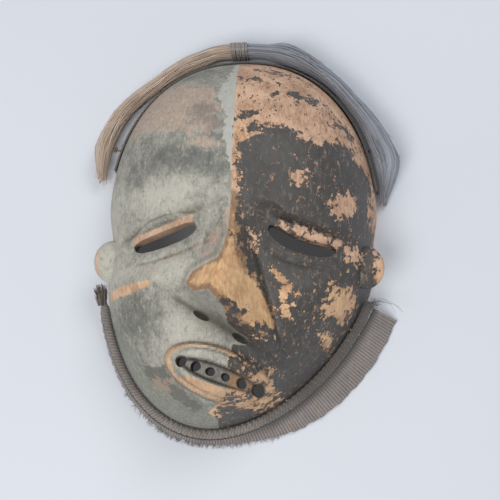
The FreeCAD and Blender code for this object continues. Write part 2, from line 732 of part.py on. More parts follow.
def coif_band():
    """Woven band between the wall and the sheaf, from one end of the sheaf to the other."""
    first = size["dyed_end_angle"] + BAND_SHORT_OF_END
    last = size["natural_end_angle"] - BAND_SHORT_OF_END
    count = 28
    sections = [band_section(first + (last - first) * step / count) for step in range(count + 1)]
    strip = feature("band_strip", Part.makeLoft(sections, True))
    holes = []
    for angle in COIF_TIE_ANGLES:
        start = wall_point(angle, 0, size["coif_tie_z"])
        reach = size["band_gap"] + size["band_thickness"] + size["clearance"]
        radius = size["thread_radius"] + size["clearance"]
        holes.append(Part.makeCylinder(radius, reach, start, outwards(angle)))
    return cut("coif_band", strip, feature("band_holes", Part.makeCompound(holes)))


def coif_ties():
    """Threads through the wall and the band, each with a knot inside the mask and one in the sheaf."""
    made = []
    for angle in COIF_TIE_ANGLES:
        made.append(tie(f"coif_tie_{angle}", angle, size["coif_tie_z"], knot_reach(angle), True))
    return group("coif_ties", made)


def tie(name, angle, z, outside, knot_outside):
    """One straight thread through the wall with a knot at its inner end, and at its outer end if asked."""
    direction = outwards(angle)
    wall = wall_point(angle, 0, z)
    inside = -size["rim_wall"] - size["knot_radius"] - KNOT_SLACK
    start = wall + direction * inside
    thread = Part.makeCylinder(size["thread_radius"], outside - inside, start, direction)
    made = thread.fuse(Part.makeSphere(size["knot_radius"], start))
    if knot_outside:
        made = made.fuse(Part.makeSphere(size["knot_radius"], wall + direction * outside))
    return feature(name, made)


def crown_binding():
    """Cord wound round the place where the two halves of the sheaf meet, as one sleeve."""
    angle = size["crown_angle"]
    away = sheaf_gap(0, "dyed") + size["binding_thickness"] + size["clearance"]
    middle_z = size["sheaf_lift"] + size["sheaf_height"] / 2
    middle = sheaf_middle(angle, away + size["bound_thickness"] / 2, middle_z)
    side, up = sheaf_axes(angle)
    along = side.cross(up)
    turn = Rotation(up, along.cross(up), along, "XYZ")
    sleeves = []
    for name, extra in (("binding_outside", "Sizes.clearance + Sizes.binding_thickness"),
                        ("binding_inside", "Sizes.clearance")):
        oval = bound(
            "Part::Ellipse", name + "_oval", Placement(middle - along * (size["binding_length"] / 2), turn),
            MajorRadius="Sizes.bound_height / 2 + " + extra,
            MinorRadius="Sizes.bound_thickness / 2 + " + extra,
        )
        prism = doc.addObject("Part::Extrusion", name)
        prism.Base = oval
        prism.DirMode = "Normal"
        prism.Solid = True
        prism.setExpression("LengthFwd", "Sizes.binding_length")
        sleeves.append(prism)
    return cut("crown_binding", *sleeves)


# ---------------------------------------------------------------- the collar


def welt_z(angle):
    """Height of the welt's middle, which climbs from under the chin to the collar's two ends."""
    if angle < CHIN_ANGLE:
        share = (CHIN_ANGLE - angle) / (CHIN_ANGLE - size["pale_end_angle"])
    else:
        share = (angle - CHIN_ANGLE) / (size["dark_end_angle"] - CHIN_ANGLE)
    climb = min(WELT_BEYOND, share) ** WELT_POWER
    return size["welt_low_z"] + (size["welt_high_z"] - size["welt_low_z"]) * climb


def welt_place(angle):
    return wall_point(angle, size["clearance"] + size["welt_radius"], welt_z(angle))


def collar_welt():
    """The collar's rolled welt: a round roll that hugs the jaw."""
    first = size["pale_end_angle"]
    last = size["dark_end_angle"]
    count = 30
    rings = []
    for step in range(count + 1):
        angle = first + (last - first) * step / count
        ahead = welt_place(angle + 0.5) - welt_place(angle - 0.5)
        side = outwards(angle)
        wide = 2 * size["welt_radius"]
        rings.append(oval_wire(welt_place(angle), side, ahead.cross(side).normalize(), wide, wide))
    roll = feature("welt_roll", Part.makeLoft(rings, True))
    holes = []
    for angle in COLLAR_TIE_ANGLES:
        start = wall_point(angle, 0, welt_z(angle))
        reach = 2 * size["welt_radius"] + 2 * size["clearance"]
        radius = size["thread_radius"] + size["clearance"]
        holes.append(Part.makeCylinder(radius, reach, start, outwards(angle)))
    return cut("collar_welt", roll, feature("welt_holes", Part.makeCompound(holes)))


def cloth_width(angle):
    """How far the cloth reaches beyond the welt."""
    flap = ease(size["flap_start_angle"], size["flap_full_angle"], angle)
    return size["pale_cloth_width"] + (size["dark_cloth_width"] - size["pale_cloth_width"]) * flap


def cloth_section(angle):
    """Section of the cloth: from beside the welt it slopes down to its edge just over the ground."""
    near = 2 * (size["clearance"] + size["welt_radius"])
    far = near + cloth_width(angle)
    thick = size["cloth_thickness"]
    low = size["cloth_edge_z"]
    crest = max(low, welt_z(angle) * CLOTH_CREST - thick / 2)
    wall = wall_point(angle, 0, welt_z(angle))
    normal = outwards(angle)

    def corner(away, z):
        point = wall + normal * away
        point.z = z
        return point

    corners = [corner(near, crest), corner(far, low), corner(far, low + thick), corner(near, crest + thick)]
    return Part.makePolygon(corners + corners[:1])


def collar_cloth():
    """Ribbed cloth that runs round the jaw outside the welt and widens to a flap on the dark side."""
    first = size["pale_end_angle"] + CLOTH_SHORT_PALE
    last = size["dark_end_angle"] - CLOTH_SHORT_DARK
    count = 34
    sections = [cloth_section(first + (last - first) * step / count) for step in range(count + 1)]
    return feature("collar_cloth", Part.makeLoft(sections, True))


def collar_ties():
    """Threads through the wall and the welt, each with a knot inside the mask."""
    made = []
    for angle in COLLAR_TIE_ANGLES:
        outside = size["clearance"] + 2 * size["welt_radius"]
        made.append(tie(f"collar_tie_{angle}", angle, welt_z(angle), outside, False))
    return group("collar_ties", made)


def collar_tuft():
    """Frayed end of the collar on the pale side: a short bundle of thread ends."""
    angle = size["pale_end_angle"]
    base = welt_place(angle)
    along = (welt_place(angle - 0.5) - welt_place(angle + 0.5)).normalize()
    base = base + along * size["clearance"] + outwards(angle) * TUFT_OUT
    wide = size["welt_radius"] + TUFT_SPREAD
    return feature("collar_tuft", Part.makeCone(wide * TUFT_NECK, wide, size["tuft_length"], base, along))


# ---------------------------------------------------------------- build, check and write


def build_nodes():
    makers = (
        face_shell, coif_natural, coif_dyed, coif_band, coif_ties, crown_binding,
        collar_cloth, collar_welt, collar_ties, collar_tuft,
    )
    nodes = []
    for maker in makers:
        node = maker()
        node.Label = maker.__name__
        nodes.append(node)
    return nodes


def check_document(nodes):
    doc.recompute()
    for made in doc.Objects:
        if "Invalid" in made.State or "Error" in made.State:
            raise RuntimeError(f"{made.Name} failed: {made.State}")
    for node in nodes:
        if node.Shape.isNull() or not node.Shape.isValid():
            raise RuntimeError(f"{node.Label} has no valid shape")
        print(f"{node.Label:16s} {len(node.Shape.Solids):3d} solids {node.Shape.Volume / 1000:9.2f} cm3")


def write_parts(nodes):
    os.makedirs(PARTS_FOLDER, exist_ok=True)
    for node in nodes:
        node.Shape.exportStep(f"{PARTS_FOLDER}/{node.Label}.step")


all_nodes = build_nodes()
check_document(all_nodes)
write_parts(all_nodes)
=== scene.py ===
# %% [markdown]
# # A carved dance mask with a fibre coif and a cloth collar
#
# The real thing is one hollow carving in light wood. Chalky white earth covers one half of its face and
# flaking black paint covers the other. A sheaf of combed fibre, half of it dyed, is tied round the crown,
# and a collar of ribbed cloth with a rolled welt is tied round the jaw.
#
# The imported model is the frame: every piece below goes where its nodes are, in metres, with +Z out of
# the face and +Y to the crown.

# %% Load the frame
import math

import bmesh
import bpy
import numpy as np
from mathutils import Matrix, Vector


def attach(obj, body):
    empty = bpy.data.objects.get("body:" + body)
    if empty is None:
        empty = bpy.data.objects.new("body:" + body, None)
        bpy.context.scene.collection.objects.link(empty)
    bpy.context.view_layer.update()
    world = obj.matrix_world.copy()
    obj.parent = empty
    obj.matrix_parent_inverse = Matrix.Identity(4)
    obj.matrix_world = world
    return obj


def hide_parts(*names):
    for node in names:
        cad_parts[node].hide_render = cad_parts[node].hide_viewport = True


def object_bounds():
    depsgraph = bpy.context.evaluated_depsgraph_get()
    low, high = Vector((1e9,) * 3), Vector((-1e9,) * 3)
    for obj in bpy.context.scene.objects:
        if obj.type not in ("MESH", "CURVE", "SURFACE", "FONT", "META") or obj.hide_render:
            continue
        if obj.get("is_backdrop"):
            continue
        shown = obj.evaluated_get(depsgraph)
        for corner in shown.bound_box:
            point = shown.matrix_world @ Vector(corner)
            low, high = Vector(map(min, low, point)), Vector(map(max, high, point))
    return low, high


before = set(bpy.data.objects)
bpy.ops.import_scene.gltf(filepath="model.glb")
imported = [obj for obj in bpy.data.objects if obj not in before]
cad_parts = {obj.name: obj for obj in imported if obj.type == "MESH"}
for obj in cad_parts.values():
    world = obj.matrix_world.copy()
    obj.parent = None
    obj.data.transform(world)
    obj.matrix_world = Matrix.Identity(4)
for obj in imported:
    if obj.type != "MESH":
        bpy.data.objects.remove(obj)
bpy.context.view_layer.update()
MM = 0.001
print("nodes:", sorted(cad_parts))

# %% [markdown]
# ## Small helpers
#
# A carving like this has no straight line in it, so its shape is a formula: hills, hollows and wedges
# added up. The same few functions are used for the wood, for the paint on it and for what is tied to it.
# They work on whole arrays of points at once. All sizes are in millimetres until a mesh is made.

# %% Formula helpers
def ease(low, high, at):
    """0 up to low and 1 from high on, with a smooth change between. It runs downhill where high < low."""
    share = np.clip((at - low) / (high - low), 0.0, 1.0)
    return share * share * (3 - 2 * share)


def turned(x, y, turn):
    """x and y as seen along axes that are turned by that many degrees."""
    c = math.cos(math.radians(turn))
    s = math.sin(math.radians(turn))
    return x * c + y * s, y * c - x * s


def hill(x, y, mid_x, mid_y, half_x, half_y, turn=0.0):
    """A smooth round hill of height 1."""
    along, across = turned(x - mid_x, y - mid_y, turn)
    return np.exp(-((along / half_x) ** 2) - (across / half_y) ** 2)


def blot(x, y, mid_x, mid_y, half_x, half_y, turn=0.0):
    """Millimetres inside an oval, below 0 outside it."""
    along, across = turned(x - mid_x, y - mid_y, turn)
    return (1 - np.hypot(along / half_x, across / half_y)) * min(half_x, half_y)


def blots(x, y, ovals):
    """Millimetres inside the nearest of several ovals."""
    return np.max([blot(x, y, *oval) for oval in ovals], axis=0)


def bell(at, middle, half):
    """1 at the middle, falling smoothly to 0 on both sides."""
    return np.exp(-(((at - middle) / half) ** 2))


def inside(x, y, corners):
    """Millimetres inside a closed outline, below 0 outside it."""
    away = np.full(x.shape, 1e9)
    within = np.zeros(x.shape, bool)
    for (x0, y0), (x1, y1) in zip(corners, corners[1:] + corners[:1]):
        run_x, run_y = x1 - x0, y1 - y0
        at = np.clip(((x - x0) * run_x + (y - y0) * run_y) / (run_x**2 + run_y**2), 0.0, 1.0)
        away = np.minimum(away, np.hypot(x - x0 - at * run_x, y - y0 - at * run_y))
        if run_y:
            crosses = ((y0 > y) != (y1 > y)) & (x < x0 + run_x * (y - y0) / run_y)
            within ^= crosses
    return np.where(within, away, -away)


# %% Mesh helpers
def made_mesh(name, points, faces, finish=None, smooth=True):
    """An object from points in millimetres and faces. Its place is in its mesh."""
    mesh = bpy.data.meshes.new(name)
    mesh.from_pydata((np.asarray(points, float) * MM).tolist(), [], [tuple(f) for f in faces])
    mesh.update()
    mesh.shade_smooth() if smooth else mesh.shade_flat()
    made = bpy.data.objects.new(name, mesh)
    bpy.context.scene.collection.objects.link(made)
    if finish:
        mesh.materials.append(finish)
    return made


def tube_faces(rings, around):
    """Quads between rings of points, with a face over each end."""
    ring = np.arange(around)
    following = (ring + 1) % around
    first = np.arange(rings - 1)[:, None] * around
    quads = np.stack([first + ring, first + following, first + around + following, first + around + ring], -1)
    faces = quads.reshape(-1, 4).tolist()
    return faces + [ring[::-1].tolist(), ((rings - 1) * around + ring).tolist()]


def net_faces(rows, columns):
    """Quads of a net of points."""
    corner = np.arange(rows - 1)[:, None] * columns + np.arange(columns - 1)
    return np.stack([corner, corner + columns, corner + columns + 1, corner + 1], -1).reshape(-1, 4).tolist()


def faced_out(made):
    """Turns every face outwards on a closed mesh."""
    work = bmesh.new()
    work.from_mesh(made.data)
    bmesh.ops.recalc_face_normals(work, faces=work.faces)
    work.to_mesh(made.data)
    work.free()
    return made


def joined(name, pieces):
    """One object from several."""
    with bpy.context.temp_override(active_object=pieces[0], selected_editable_objects=pieces):
        bpy.ops.object.join()
    pieces[0].name = name
    pieces[0].data.name = name
    return pieces[0]


def unit(vectors):
    """Vectors of length 1."""
    return vectors / np.linalg.norm(vectors, axis=-1, keepdims=True)


def distance_along(line):
    """How far along a line each of its points lies, from 0."""
    return np.concatenate([[0], np.cumsum(np.linalg.norm(np.diff(line, axis=0), axis=1))])


def rounded(side, up, turn, reach_side, reach_up):
    """Offsets round an oval that stands on two directions."""
    return side * (np.cos(turn) * reach_side)[..., None] + up * (np.sin(turn) * reach_up)[..., None]


def set_attribute(mesh, name, values):
    """A number for every point, which a material can read."""
    made = mesh.attributes.new(name, "FLOAT", "POINT")
    made.data.foreach_set("value", np.asarray(values, np.float32).ravel())


def set_flat_map(made, flat):
    """A UV map in millimetres, from each point's place along and across the cloth."""
    corner = np.zeros(len(made.data.loops), np.int32)
    made.data.loops.foreach_get("vertex_index", corner)
    layer = made.data.uv_layers.new(name="cloth")
    layer.data.foreach_set("uv", flat.reshape(-1, 2)[corner].astype(np.float32).ravel())


def baked(made):
    """The object with its modifiers turned into plain mesh."""
    result = bpy.data.meshes.new_from_object(made.evaluated_get(bpy.context.evaluated_depsgraph_get()))
    made.modifiers.clear()
    made.data = result
    return made


# %% Node helpers
def add(tree, kind, inputs=None, **settings):
    """A node whose inputs are values or the outputs of other nodes."""
    made = tree.nodes.new(kind)
    for name, value in settings.items():
        setattr(made, name, value)
    for socket, value in (inputs or {}).items():
        if isinstance(value, bpy.types.NodeSocket):
            tree.links.new(value, made.inputs[socket])
        else:
            made.inputs[socket].default_value = value
    return made


def shade(red, green, blue):
    """A colour given as a paint chart gives it, 0 to 255, as Blender wants it."""
    chart = np.array((red, green, blue)) / 255
    linear = np.where(chart <= 0.04045, chart / 12.92, ((chart + 0.055) / 1.055) ** 2.4)
    return (*linear.tolist(), 1.0)


def maths(tree, operation, first, second=0.0):
    return add(tree, "ShaderNodeMath", {0: first, 1: second}, operation=operation).outputs[0]


def times(tree, first, second):
    return maths(tree, "MULTIPLY", first, second)


def plus(tree, first, second):
    return maths(tree, "ADD", first, second)


def mixed(tree, share, first, second):
    """The first colour at 0 and the second at 1."""
    return add(tree, "ShaderNodeMix", {0: share, 6: first, 7: second}, data_type="RGBA").outputs[2]


def spread(tree, value, low, high, to_low=0.0, to_high=1.0):
    """A smooth change between two values."""
    inputs = {"Value": value, "From Min": low, "From Max": high, "To Min": to_low, "To Max": to_high}
    return add(tree, "ShaderNodeMapRange", inputs, interpolation_type="SMOOTHSTEP").outputs[0]


def attribute(tree, name):
    return add(tree, "ShaderNodeAttribute", attribute_name=name).outputs["Fac"]


def noise(tree, place, size_mm, detail=3.0, rough=0.55, stretch=(1, 1, 1), seed=0.0):
    """Noise with features of about that many millimetres."""
    bent = add(tree, "ShaderNodeMapping", {"Vector": place, "Location": (seed, seed, seed), "Scale": stretch})
    inputs = {"Vector": bent.outputs[0], "Scale": 1000 / size_mm, "Detail": detail, "Roughness": rough}
    return add(tree, "ShaderNodeTexNoise", inputs).outputs["Fac"]


def new_material(name, rough, sheen=0.0):
    """An empty material: its tree, its Principled shader and the place on the object."""
    made = bpy.data.materials.new(name)
    made.use_nodes = True
    tree = made.node_tree
    shader = tree.nodes["Principled BSDF"]
    shader.inputs["Roughness"].default_value = rough
    shader.inputs["Sheen Weight"].default_value = sheen
    place = add(tree, "ShaderNodeTexCoord").outputs["Object"]
    return made, tree, shader, place


def bumped(tree, shader, height, depth_mm, strength=1.0):
    inputs = {"Height": height, "Distance": depth_mm * MM, "Strength": strength}
    tree.links.new(add(tree, "ShaderNodeBump", inputs).outputs[0], shader.inputs["Normal"])


# %% [markdown]
# ## Effects that several finishes share
#
# Old paint, dust and fibre do the same things on different pieces, so each effect is a node group that is
# built once. A group could hold the whole material, but then the exporter could not read its shader, so a
# group only gives masks and colours and the Principled shader stays in the material.

# %% Ragged edge, grain and dust groups
def new_group(name, inputs, outputs):
    """An empty shader node group with named sockets: its tree, its inputs and its output node."""
    tree = bpy.data.node_groups.new(name, "ShaderNodeTree")
    for socket, kind, value in inputs:
        made = tree.interface.new_socket(socket, in_out="INPUT", socket_type="NodeSocket" + kind)
        if value is not None:
            made.default_value = value
    for socket, kind in outputs:
        tree.interface.new_socket(socket, in_out="OUTPUT", socket_type="NodeSocket" + kind)
    return tree, tree.nodes.new("NodeGroupInput").outputs, tree.nodes.new("NodeGroupOutput").inputs


def ragged_edge_group():
    """Mask of a patch whose edge wanders as flaked paint does. Field is millimetres inside the patch."""
    usual = (("Field", 0.0), ("Wander", 3.0), ("Size", 8.0), ("Blur", 0.3), ("Seed", 0.0))
    inputs = [("Place", "Vector", None)] + [(name, "Float", value) for name, value in usual]
    tree, given, result = new_group("ragged_edge", inputs, [("Mask", "Float")])
    both = {0: given["Place"], 1: given["Seed"]}
    moved = add(tree, "ShaderNodeVectorMath", both, operation="ADD").outputs[0]
    per_metre = maths(tree, "DIVIDE", 1000.0, given["Size"])
    inputs = {"Vector": moved, "Scale": per_metre, "Detail": 7.0, "Roughness": 0.7}
    grain = add(tree, "ShaderNodeTexNoise", inputs).outputs["Fac"]
    push = times(tree, maths(tree, "SUBTRACT", grain, 0.5), times(tree, given["Wander"], 4.0))
    field = plus(tree, given["Field"], push)
    tree.links.new(spread(tree, maths(tree, "DIVIDE", field, given["Blur"]), -1.0, 1.0), result["Mask"])
    return tree


def fibre_group():
    """Colour of combed fibre: every strand its own shade, with darker and lighter stretches along it."""
    inputs = [("Place", "Vector", None)] + [(name, "Color", None) for name in ("Dark", "Light", "Tip")]
    tree, given, result = new_group("fibre_shades", inputs, [("Color", "Color"), ("Height", "Float")])
    strand = attribute(tree, "strand")
    patches = noise(tree, given["Place"], 14.0, 3.0, 0.6)
    fine = noise(tree, given["Place"], 1.2, 2.0, 0.6)
    share = plus(tree, times(tree, strand, 0.75), times(tree, patches, 0.5))
    share = maths(tree, "SUBTRACT", share, 0.12)
    body = mixed(tree, spread(tree, share, 0.1, 0.95), given["Dark"], given["Light"])
    tips = times(tree, attribute(tree, "tip"), 0.6)
    tree.links.new(mixed(tree, tips, body, given["Tip"]), result["Color"])
    tree.links.new(fine, result["Height"])
    return tree


def dust_group():
    """Mask of pale dust that lies on faces that look up, in patches."""
    inputs = [("Place", "Vector", None), ("Amount", "Float", 0.3)]
    tree, given, result = new_group("settled_dust", inputs, [("Mask", "Float")])
    normal = add(tree, "ShaderNodeNewGeometry").outputs["Normal"]
    up = add(tree, "ShaderNodeSeparateXYZ", {0: normal}).outputs["Z"]
    patches = spread(tree, noise(tree, given["Place"], 5.0, 5.0, 0.7), 0.35, 0.7)
    settled = times(tree, spread(tree, up, 0.0, 1.0), patches)
    tree.links.new(times(tree, settled, given["Amount"]), result["Mask"])
    return tree


RAGGED_EDGE = ragged_edge_group()
FIBRE_SHADES = fibre_group()
SETTLED_DUST = dust_group()


def use_group(tree, group, **inputs):
    """A group placed in a material, with its own values."""
    made = tree.nodes.new("ShaderNodeGroup")
    made.node_tree = group
    for name, value in inputs.items():
        if isinstance(value, bpy.types.NodeSocket):
            tree.links.new(value, made.inputs[name])
        else:
            made.inputs[name].default_value = value
    return made.outputs


print("shared effects:", [g.name for g in (RAGGED_EDGE, FIBRE_SHADES, SETTLED_DUST)])

# %% [markdown]
# ## The shape of the carving
#
# The carver left a dome and cut the features into it: two eye sockets with heavy lids, a broad twisted
# nose, pursed lips dragged over to the pale side, and a chin. A sculpted mesh would do, but a height for
# every point of the face is exact, can be measured, and lets the paint follow the same features.

# %% Outline and dome
HALF_WIDTH = 99.0
HALF_HEIGHT = 134.0
DOME_DEPTH = 84.0
DOME_POWER = 3.1
RIM_WALL = 7.5
FRONT_WALL = 9.0
CHIN_SHIFT = 23.0
CHIN_SHIFT_POWER = 1.6
TEMPLE_PINCH = 4.5
TEMPLE_Y = -6.0
TEMPLE_HALF = 20.0
RIM_START = 0.985
RELIEF_FULL = 0.8


def outline_reach(sine, cosine):
    """How far the outline reaches in a direction: blunt at the crown and pointed at the jaw."""
    power = 1.9 + 0.35 * ease(-0.6, 0.6, sine)
    return (np.abs(cosine) ** power + np.abs(sine) ** power) ** (-1 / power)


def bend_at(y):
    """How far the jaw is carved over to the pale side at a height, and the temples are pinched in."""
    low = np.maximum(0.0, -y) / HALF_HEIGHT
    return CHIN_SHIFT * low**CHIN_SHIFT_POWER, TEMPLE_PINCH * bell(y, TEMPLE_Y, TEMPLE_HALF)


def outline_point(angle, share=1.0, inset=0.0):
    """Point at that share of the way out to the outline."""
    c = np.cos(np.radians(angle))
    s = np.sin(np.radians(angle))
    reach = outline_reach(s, c) * share
    x = reach * c * (HALF_WIDTH - inset)
    y = reach * s * (HALF_HEIGHT - inset)
    shift, pinch = bend_at(y)
    return x - shift - pinch * x / HALF_WIDTH, y


def share_at(x, y):
    """How far out a point of the face lies, as a share of the way to the outline."""
    shift, pinch = bend_at(y)
    a = (x + shift) / (1 - pinch / HALF_WIDTH) / HALF_WIDTH
    b = y / HALF_HEIGHT
    out = np.maximum(np.hypot(a, b), 1e-9)
    return out / outline_reach(b / out, a / out)


def outwards(angle):
    """Level direction straight out of the wall."""
    x0, y0 = outline_point(angle - 0.5)
    x1, y1 = outline_point(angle + 0.5)
    return unit(np.stack([y1 - y0, x0 - x1, 0 * x0], -1))


def wall_point(angle, away=0.0, z=0.0):
    """Point at a height beside the outer wall, that far away from it."""
    share = (1 - (z / DOME_DEPTH) ** 2) ** (1 / DOME_POWER)
    x, y = outline_point(angle, share)
    return np.stack([x, y, z + 0 * x], -1) + outwards(angle) * np.asarray(away)[..., None]


# %% Features of the face
EYE_LENGTH = 46.0
EYE_WIDTH = 10.0
EYES = (
    {"x": -47.0, "y": -9.0, "turn": 15.0, "sag": 2.0, "brow": 13.5},
    {"x": 45.0, "y": -12.0, "turn": -17.0, "sag": 4.5, "brow": 17.0},
)
MOUTH = {"x": -10.0, "y": -101.0, "turn": -20.0}
LIPS_HALVES = (36.0, 16.0)
GROOVE_HALVES = (29.0, 6.5)
NOSE_ROOT = np.array((1.0, 13.0))
NOSE_PALE_WING = np.array((-30.0, -44.0))
NOSE_DARK_WING = np.array((26.0, -77.0))
NOSE_HEIGHT = 33.0
NOSE_UNDERSIDE = 12.0
NOSE_RIDGE = -0.15
NOSE_ACROSS = unit(NOSE_DARK_WING - NOSE_PALE_WING)
NOSE_DOWN = np.array((NOSE_ACROSS[1], -NOSE_ACROSS[0]))
NOSE_LENGTH = (NOSE_PALE_WING - NOSE_ROOT) @ NOSE_DOWN
NOSE_PALE_SIDE = (NOSE_PALE_WING - NOSE_ROOT) @ NOSE_ACROSS
NOSE_DARK_SIDE = (NOSE_DARK_WING - NOSE_ROOT) @ NOSE_ACROSS
NOSE_MIDDLE = (NOSE_PALE_SIDE + NOSE_DARK_SIDE) / 2
NOSE_FOOT = NOSE_ROOT + NOSE_DOWN * (NOSE_LENGTH + NOSE_UNDERSIDE) + NOSE_ACROSS * NOSE_MIDDLE


def eye_place(x, y, eye):
    """Where a point lies along and across an eye slit, measured from the slit's sagging line."""
    along, across = turned(x - eye["x"], y - eye["y"], eye["turn"])
    return along, across + eye["sag"] * np.maximum(0.0, 1 - (2 * along / EYE_LENGTH) ** 2)


def eye_relief(x, y, eye):
    """Socket, brow's edge and lids of one eye."""
    along, across = eye_place(x, y, eye)
    half = EYE_LENGTH / 2
    brow = eye["brow"]
    above = 1 - ease(brow * 0.6, brow, across)
    below = 1 - ease(0.0, -brow * 2, across)
    socket = np.where(across > 0, above, below) * np.exp(-((along / (half * 1.35)) ** 4))
    lid_middle = EYE_WIDTH / 2 + 3.0
    arch = lid_middle + 4.2 - 5.0 * (along / half) ** 2
    plate = 0.5 * ease(arch + 1.2, arch - 0.6, across) * ease(-2.0, 2.0, across)
    upper = 0.75 * bell(across, lid_middle, 4.0) + plate
    lower = 0.35 * bell(across, -lid_middle, 3.5)
    fold = 0.3 * bell(across, -lid_middle - 4.5, 1.4)
    crease = 0.3 * bell(across, arch + 1.6, 1.3)
    lids = (upper + lower - fold - crease) * np.maximum(0.0, 1 - (along / (half * 1.2)) ** 2)
    return -10.0 * socket + 5.0 * lids


def nose_place(x, y):
    """How far down the nose a point is, and how far across it, -1 and 1 at its sides."""
    from_root = (x - NOSE_ROOT[0], y - NOSE_ROOT[1])
    share = (from_root[0] * NOSE_DOWN[0] + from_root[1] * NOSE_DOWN[1]) / NOSE_LENGTH
    sideways = from_root[0] * NOSE_ACROSS[0] + from_root[1] * NOSE_ACROSS[1]
    half = share * (NOSE_DARK_SIDE - NOSE_PALE_SIDE) / 2 + 5.0 * np.maximum(0.0, 1 - share)
    return share, (sideways - share * NOSE_MIDDLE) / np.maximum(half, 0.01)


def nose_relief(x, y):
    """The wedge of the nose, with a sharper edge along the end of its top."""
    share, side = nose_place(x, y)
    beyond = side - NOSE_RIDGE
    off = np.where(beyond < 0, -beyond / (1 + NOSE_RIDGE), beyond / (1 - NOSE_RIDGE))
    under = 1 - ease(0.99, 1.0 + 0.85 * NOSE_UNDERSIDE / NOSE_LENGTH, share)
    profile = 0.55 * (1 - ease(0.0, 1.12, off)) + 0.45 * np.clip(1 - off / 1.12, 0.0, 1.0)
    height = NOSE_HEIGHT * np.clip(share, 0.0, 1.0) ** 1.15 * profile * under
    return np.where(share <= 0, 0.0, height)


def mouth_place(x, y):
    """Place along and across the mouth, and share of the way out to the lips' edge and to the groove's."""
    along, across = turned(x - MOUTH["x"], y - MOUTH["y"], MOUTH["turn"])
    lips, groove = (np.hypot(along / halves[0], across / halves[1]) for halves in (LIPS_HALVES, GROOVE_HALVES))
    return along, across, lips, groove


def mouth_relief(x, y):
    """Muzzle, lips with a cut line inside their rim, and the groove that holds the teeth."""
    along, across, lips, groove = mouth_place(x, y)
    muzzle = np.exp(-((along / 50.0) ** 2) - (across / 31.0) ** 2)
    rim_line = 1.0 * bell(lips, 0.82, 0.06)
    rim_bead = 1.5 * bell(lips, 0.95, 0.06)
    raised = 4.5 * (1 - ease(0.92, 1.06, lips)) + rim_bead - rim_line
    return 13.0 * muzzle + raised - 5.0 * (1 - ease(0.78, 1.1, groove))


def broad_relief(x, y):
    """Forehead, cheeks and chin, which the hollow inside follows too."""
    forehead = 10.0 * hill(x, y, 0, 46, 72, 56)
    cheeks = 5.0 * (hill(x, y, -60, -50, 26, 24) + hill(x, y, 58, -52, 26, 24))
    return forehead + cheeks + 11.0 * hill(x, y, -19.5, -118, 30, 15)


def knife_marks(x, y):
    """Shallow facets that the carver's knife left, up to a third of a millimetre deep."""
    first = np.sin(x * 0.31 + 2.1 * np.sin(y * 0.043)) * np.sin(y * 0.17 + 1.7 * np.sin(x * 0.061))
    second = np.sin(x * 0.73 + 1.3 * np.sin(y * 0.11) + 1.0) * np.sin(y * 0.29 + 0.9 * np.sin(x * 0.15))
    return 0.22 * np.abs(first) + 0.12 * second


def face_relief(x, y):
    """Height of the whole carving above the plain dome."""
    down, aside = nose_place(x, y)
    nose = nose_relief(x, y)
    median = 1.2 * bell(x, 0.0, 5.0) * ease(5.0, 30.0, y)
    cheek_edge = 3.5 * hill(x, y, -75, -41, 22, 5, 8.0)
    eyes = (eye_relief(x, y, EYES[0]) + eye_relief(x, y, EYES[1])) * (1 - ease(0.0, 12.0, nose))
    furrow = 2.2 * bell(aside, 1.12, 0.09) * ease(0.1, 0.5, down) * (1 - ease(0.95, 1.1, down))
    foot = 1.6 * bell(down, 1.17, 0.03) * ease(1.3, 1.0, np.abs(aside))
    added = broad_relief(x, y) + median + cheek_edge + nose + eyes + mouth_relief(x, y) + knife_marks(x, y)
    return added - furrow - foot


def face_z(x, y):
    """Height of the carved face over a point."""
    share = np.minimum(share_at(x, y), 1.0)
    return DOME_DEPTH * np.sqrt(1 - share**DOME_POWER) + ease(RIM_START, RELIEF_FULL, share) * face_relief(x, y)


def hollow_relief(x, y):
    """Height that the hollow inside follows, with the scallops that a gouge leaves."""
    sockets = sum(hill(x, y, e["x"], e["y"] - 2, EYE_LENGTH * 0.8, 24, e["turn"]) for e in EYES)
    muzzle = hill(x, y, MOUTH["x"], MOUTH["y"], 44, 26, MOUTH["turn"])
    nose = hill(x, y, -2, -50.5, 15, 22)
    gouge = np.sin(x * 0.33 + 1.5 * np.sin(y * 0.07)) * np.sin(y * 0.21 + 1.2 * np.sin(x * 0.09))
    carved = 10.0 * muzzle + 14.85 * nose - 10.0 * np.minimum(1.0, sockets)
    return broad_relief(x, y) + carved - 0.7 * np.abs(gouge)


# %% [markdown]
# ## Finishes of the carving
#
# The paint tells the mask's story: chalky earth, rubbed down to pinkish wood on the forehead, a brighter
# strip laid beside the middle line, and black that has flaked off every high place. A painted texture would
# be quickest, but the layers are worked out instead: the mesh carries how many millimetres inside each patch
# a point is, and the material roughens each patch's edge and stacks the layers as the painter did.

# %% Wood and chalk
def wood_colours(tree, place):
    """Bare carved wood: warm on the nose, paler on the forehead, with fine grain along the face."""
    grain = noise(tree, place, 1.8, 6.0, 0.7, (1.0, 0.3, 0.6))
    blotches = noise(tree, place, 16.0, 4.0, 0.6, seed=0.3)
    warm = mixed(tree, attribute(tree, "warm"), shade(220, 182, 154), shade(232, 190, 144))
    dark = mixed(tree, attribute(tree, "warm"), shade(168, 130, 105), shade(184, 140, 100))
    share = plus(tree, times(tree, grain, 0.6), times(tree, blotches, 0.6))
    return mixed(tree, spread(tree, share, 0.42, 0.74), dark, warm), grain


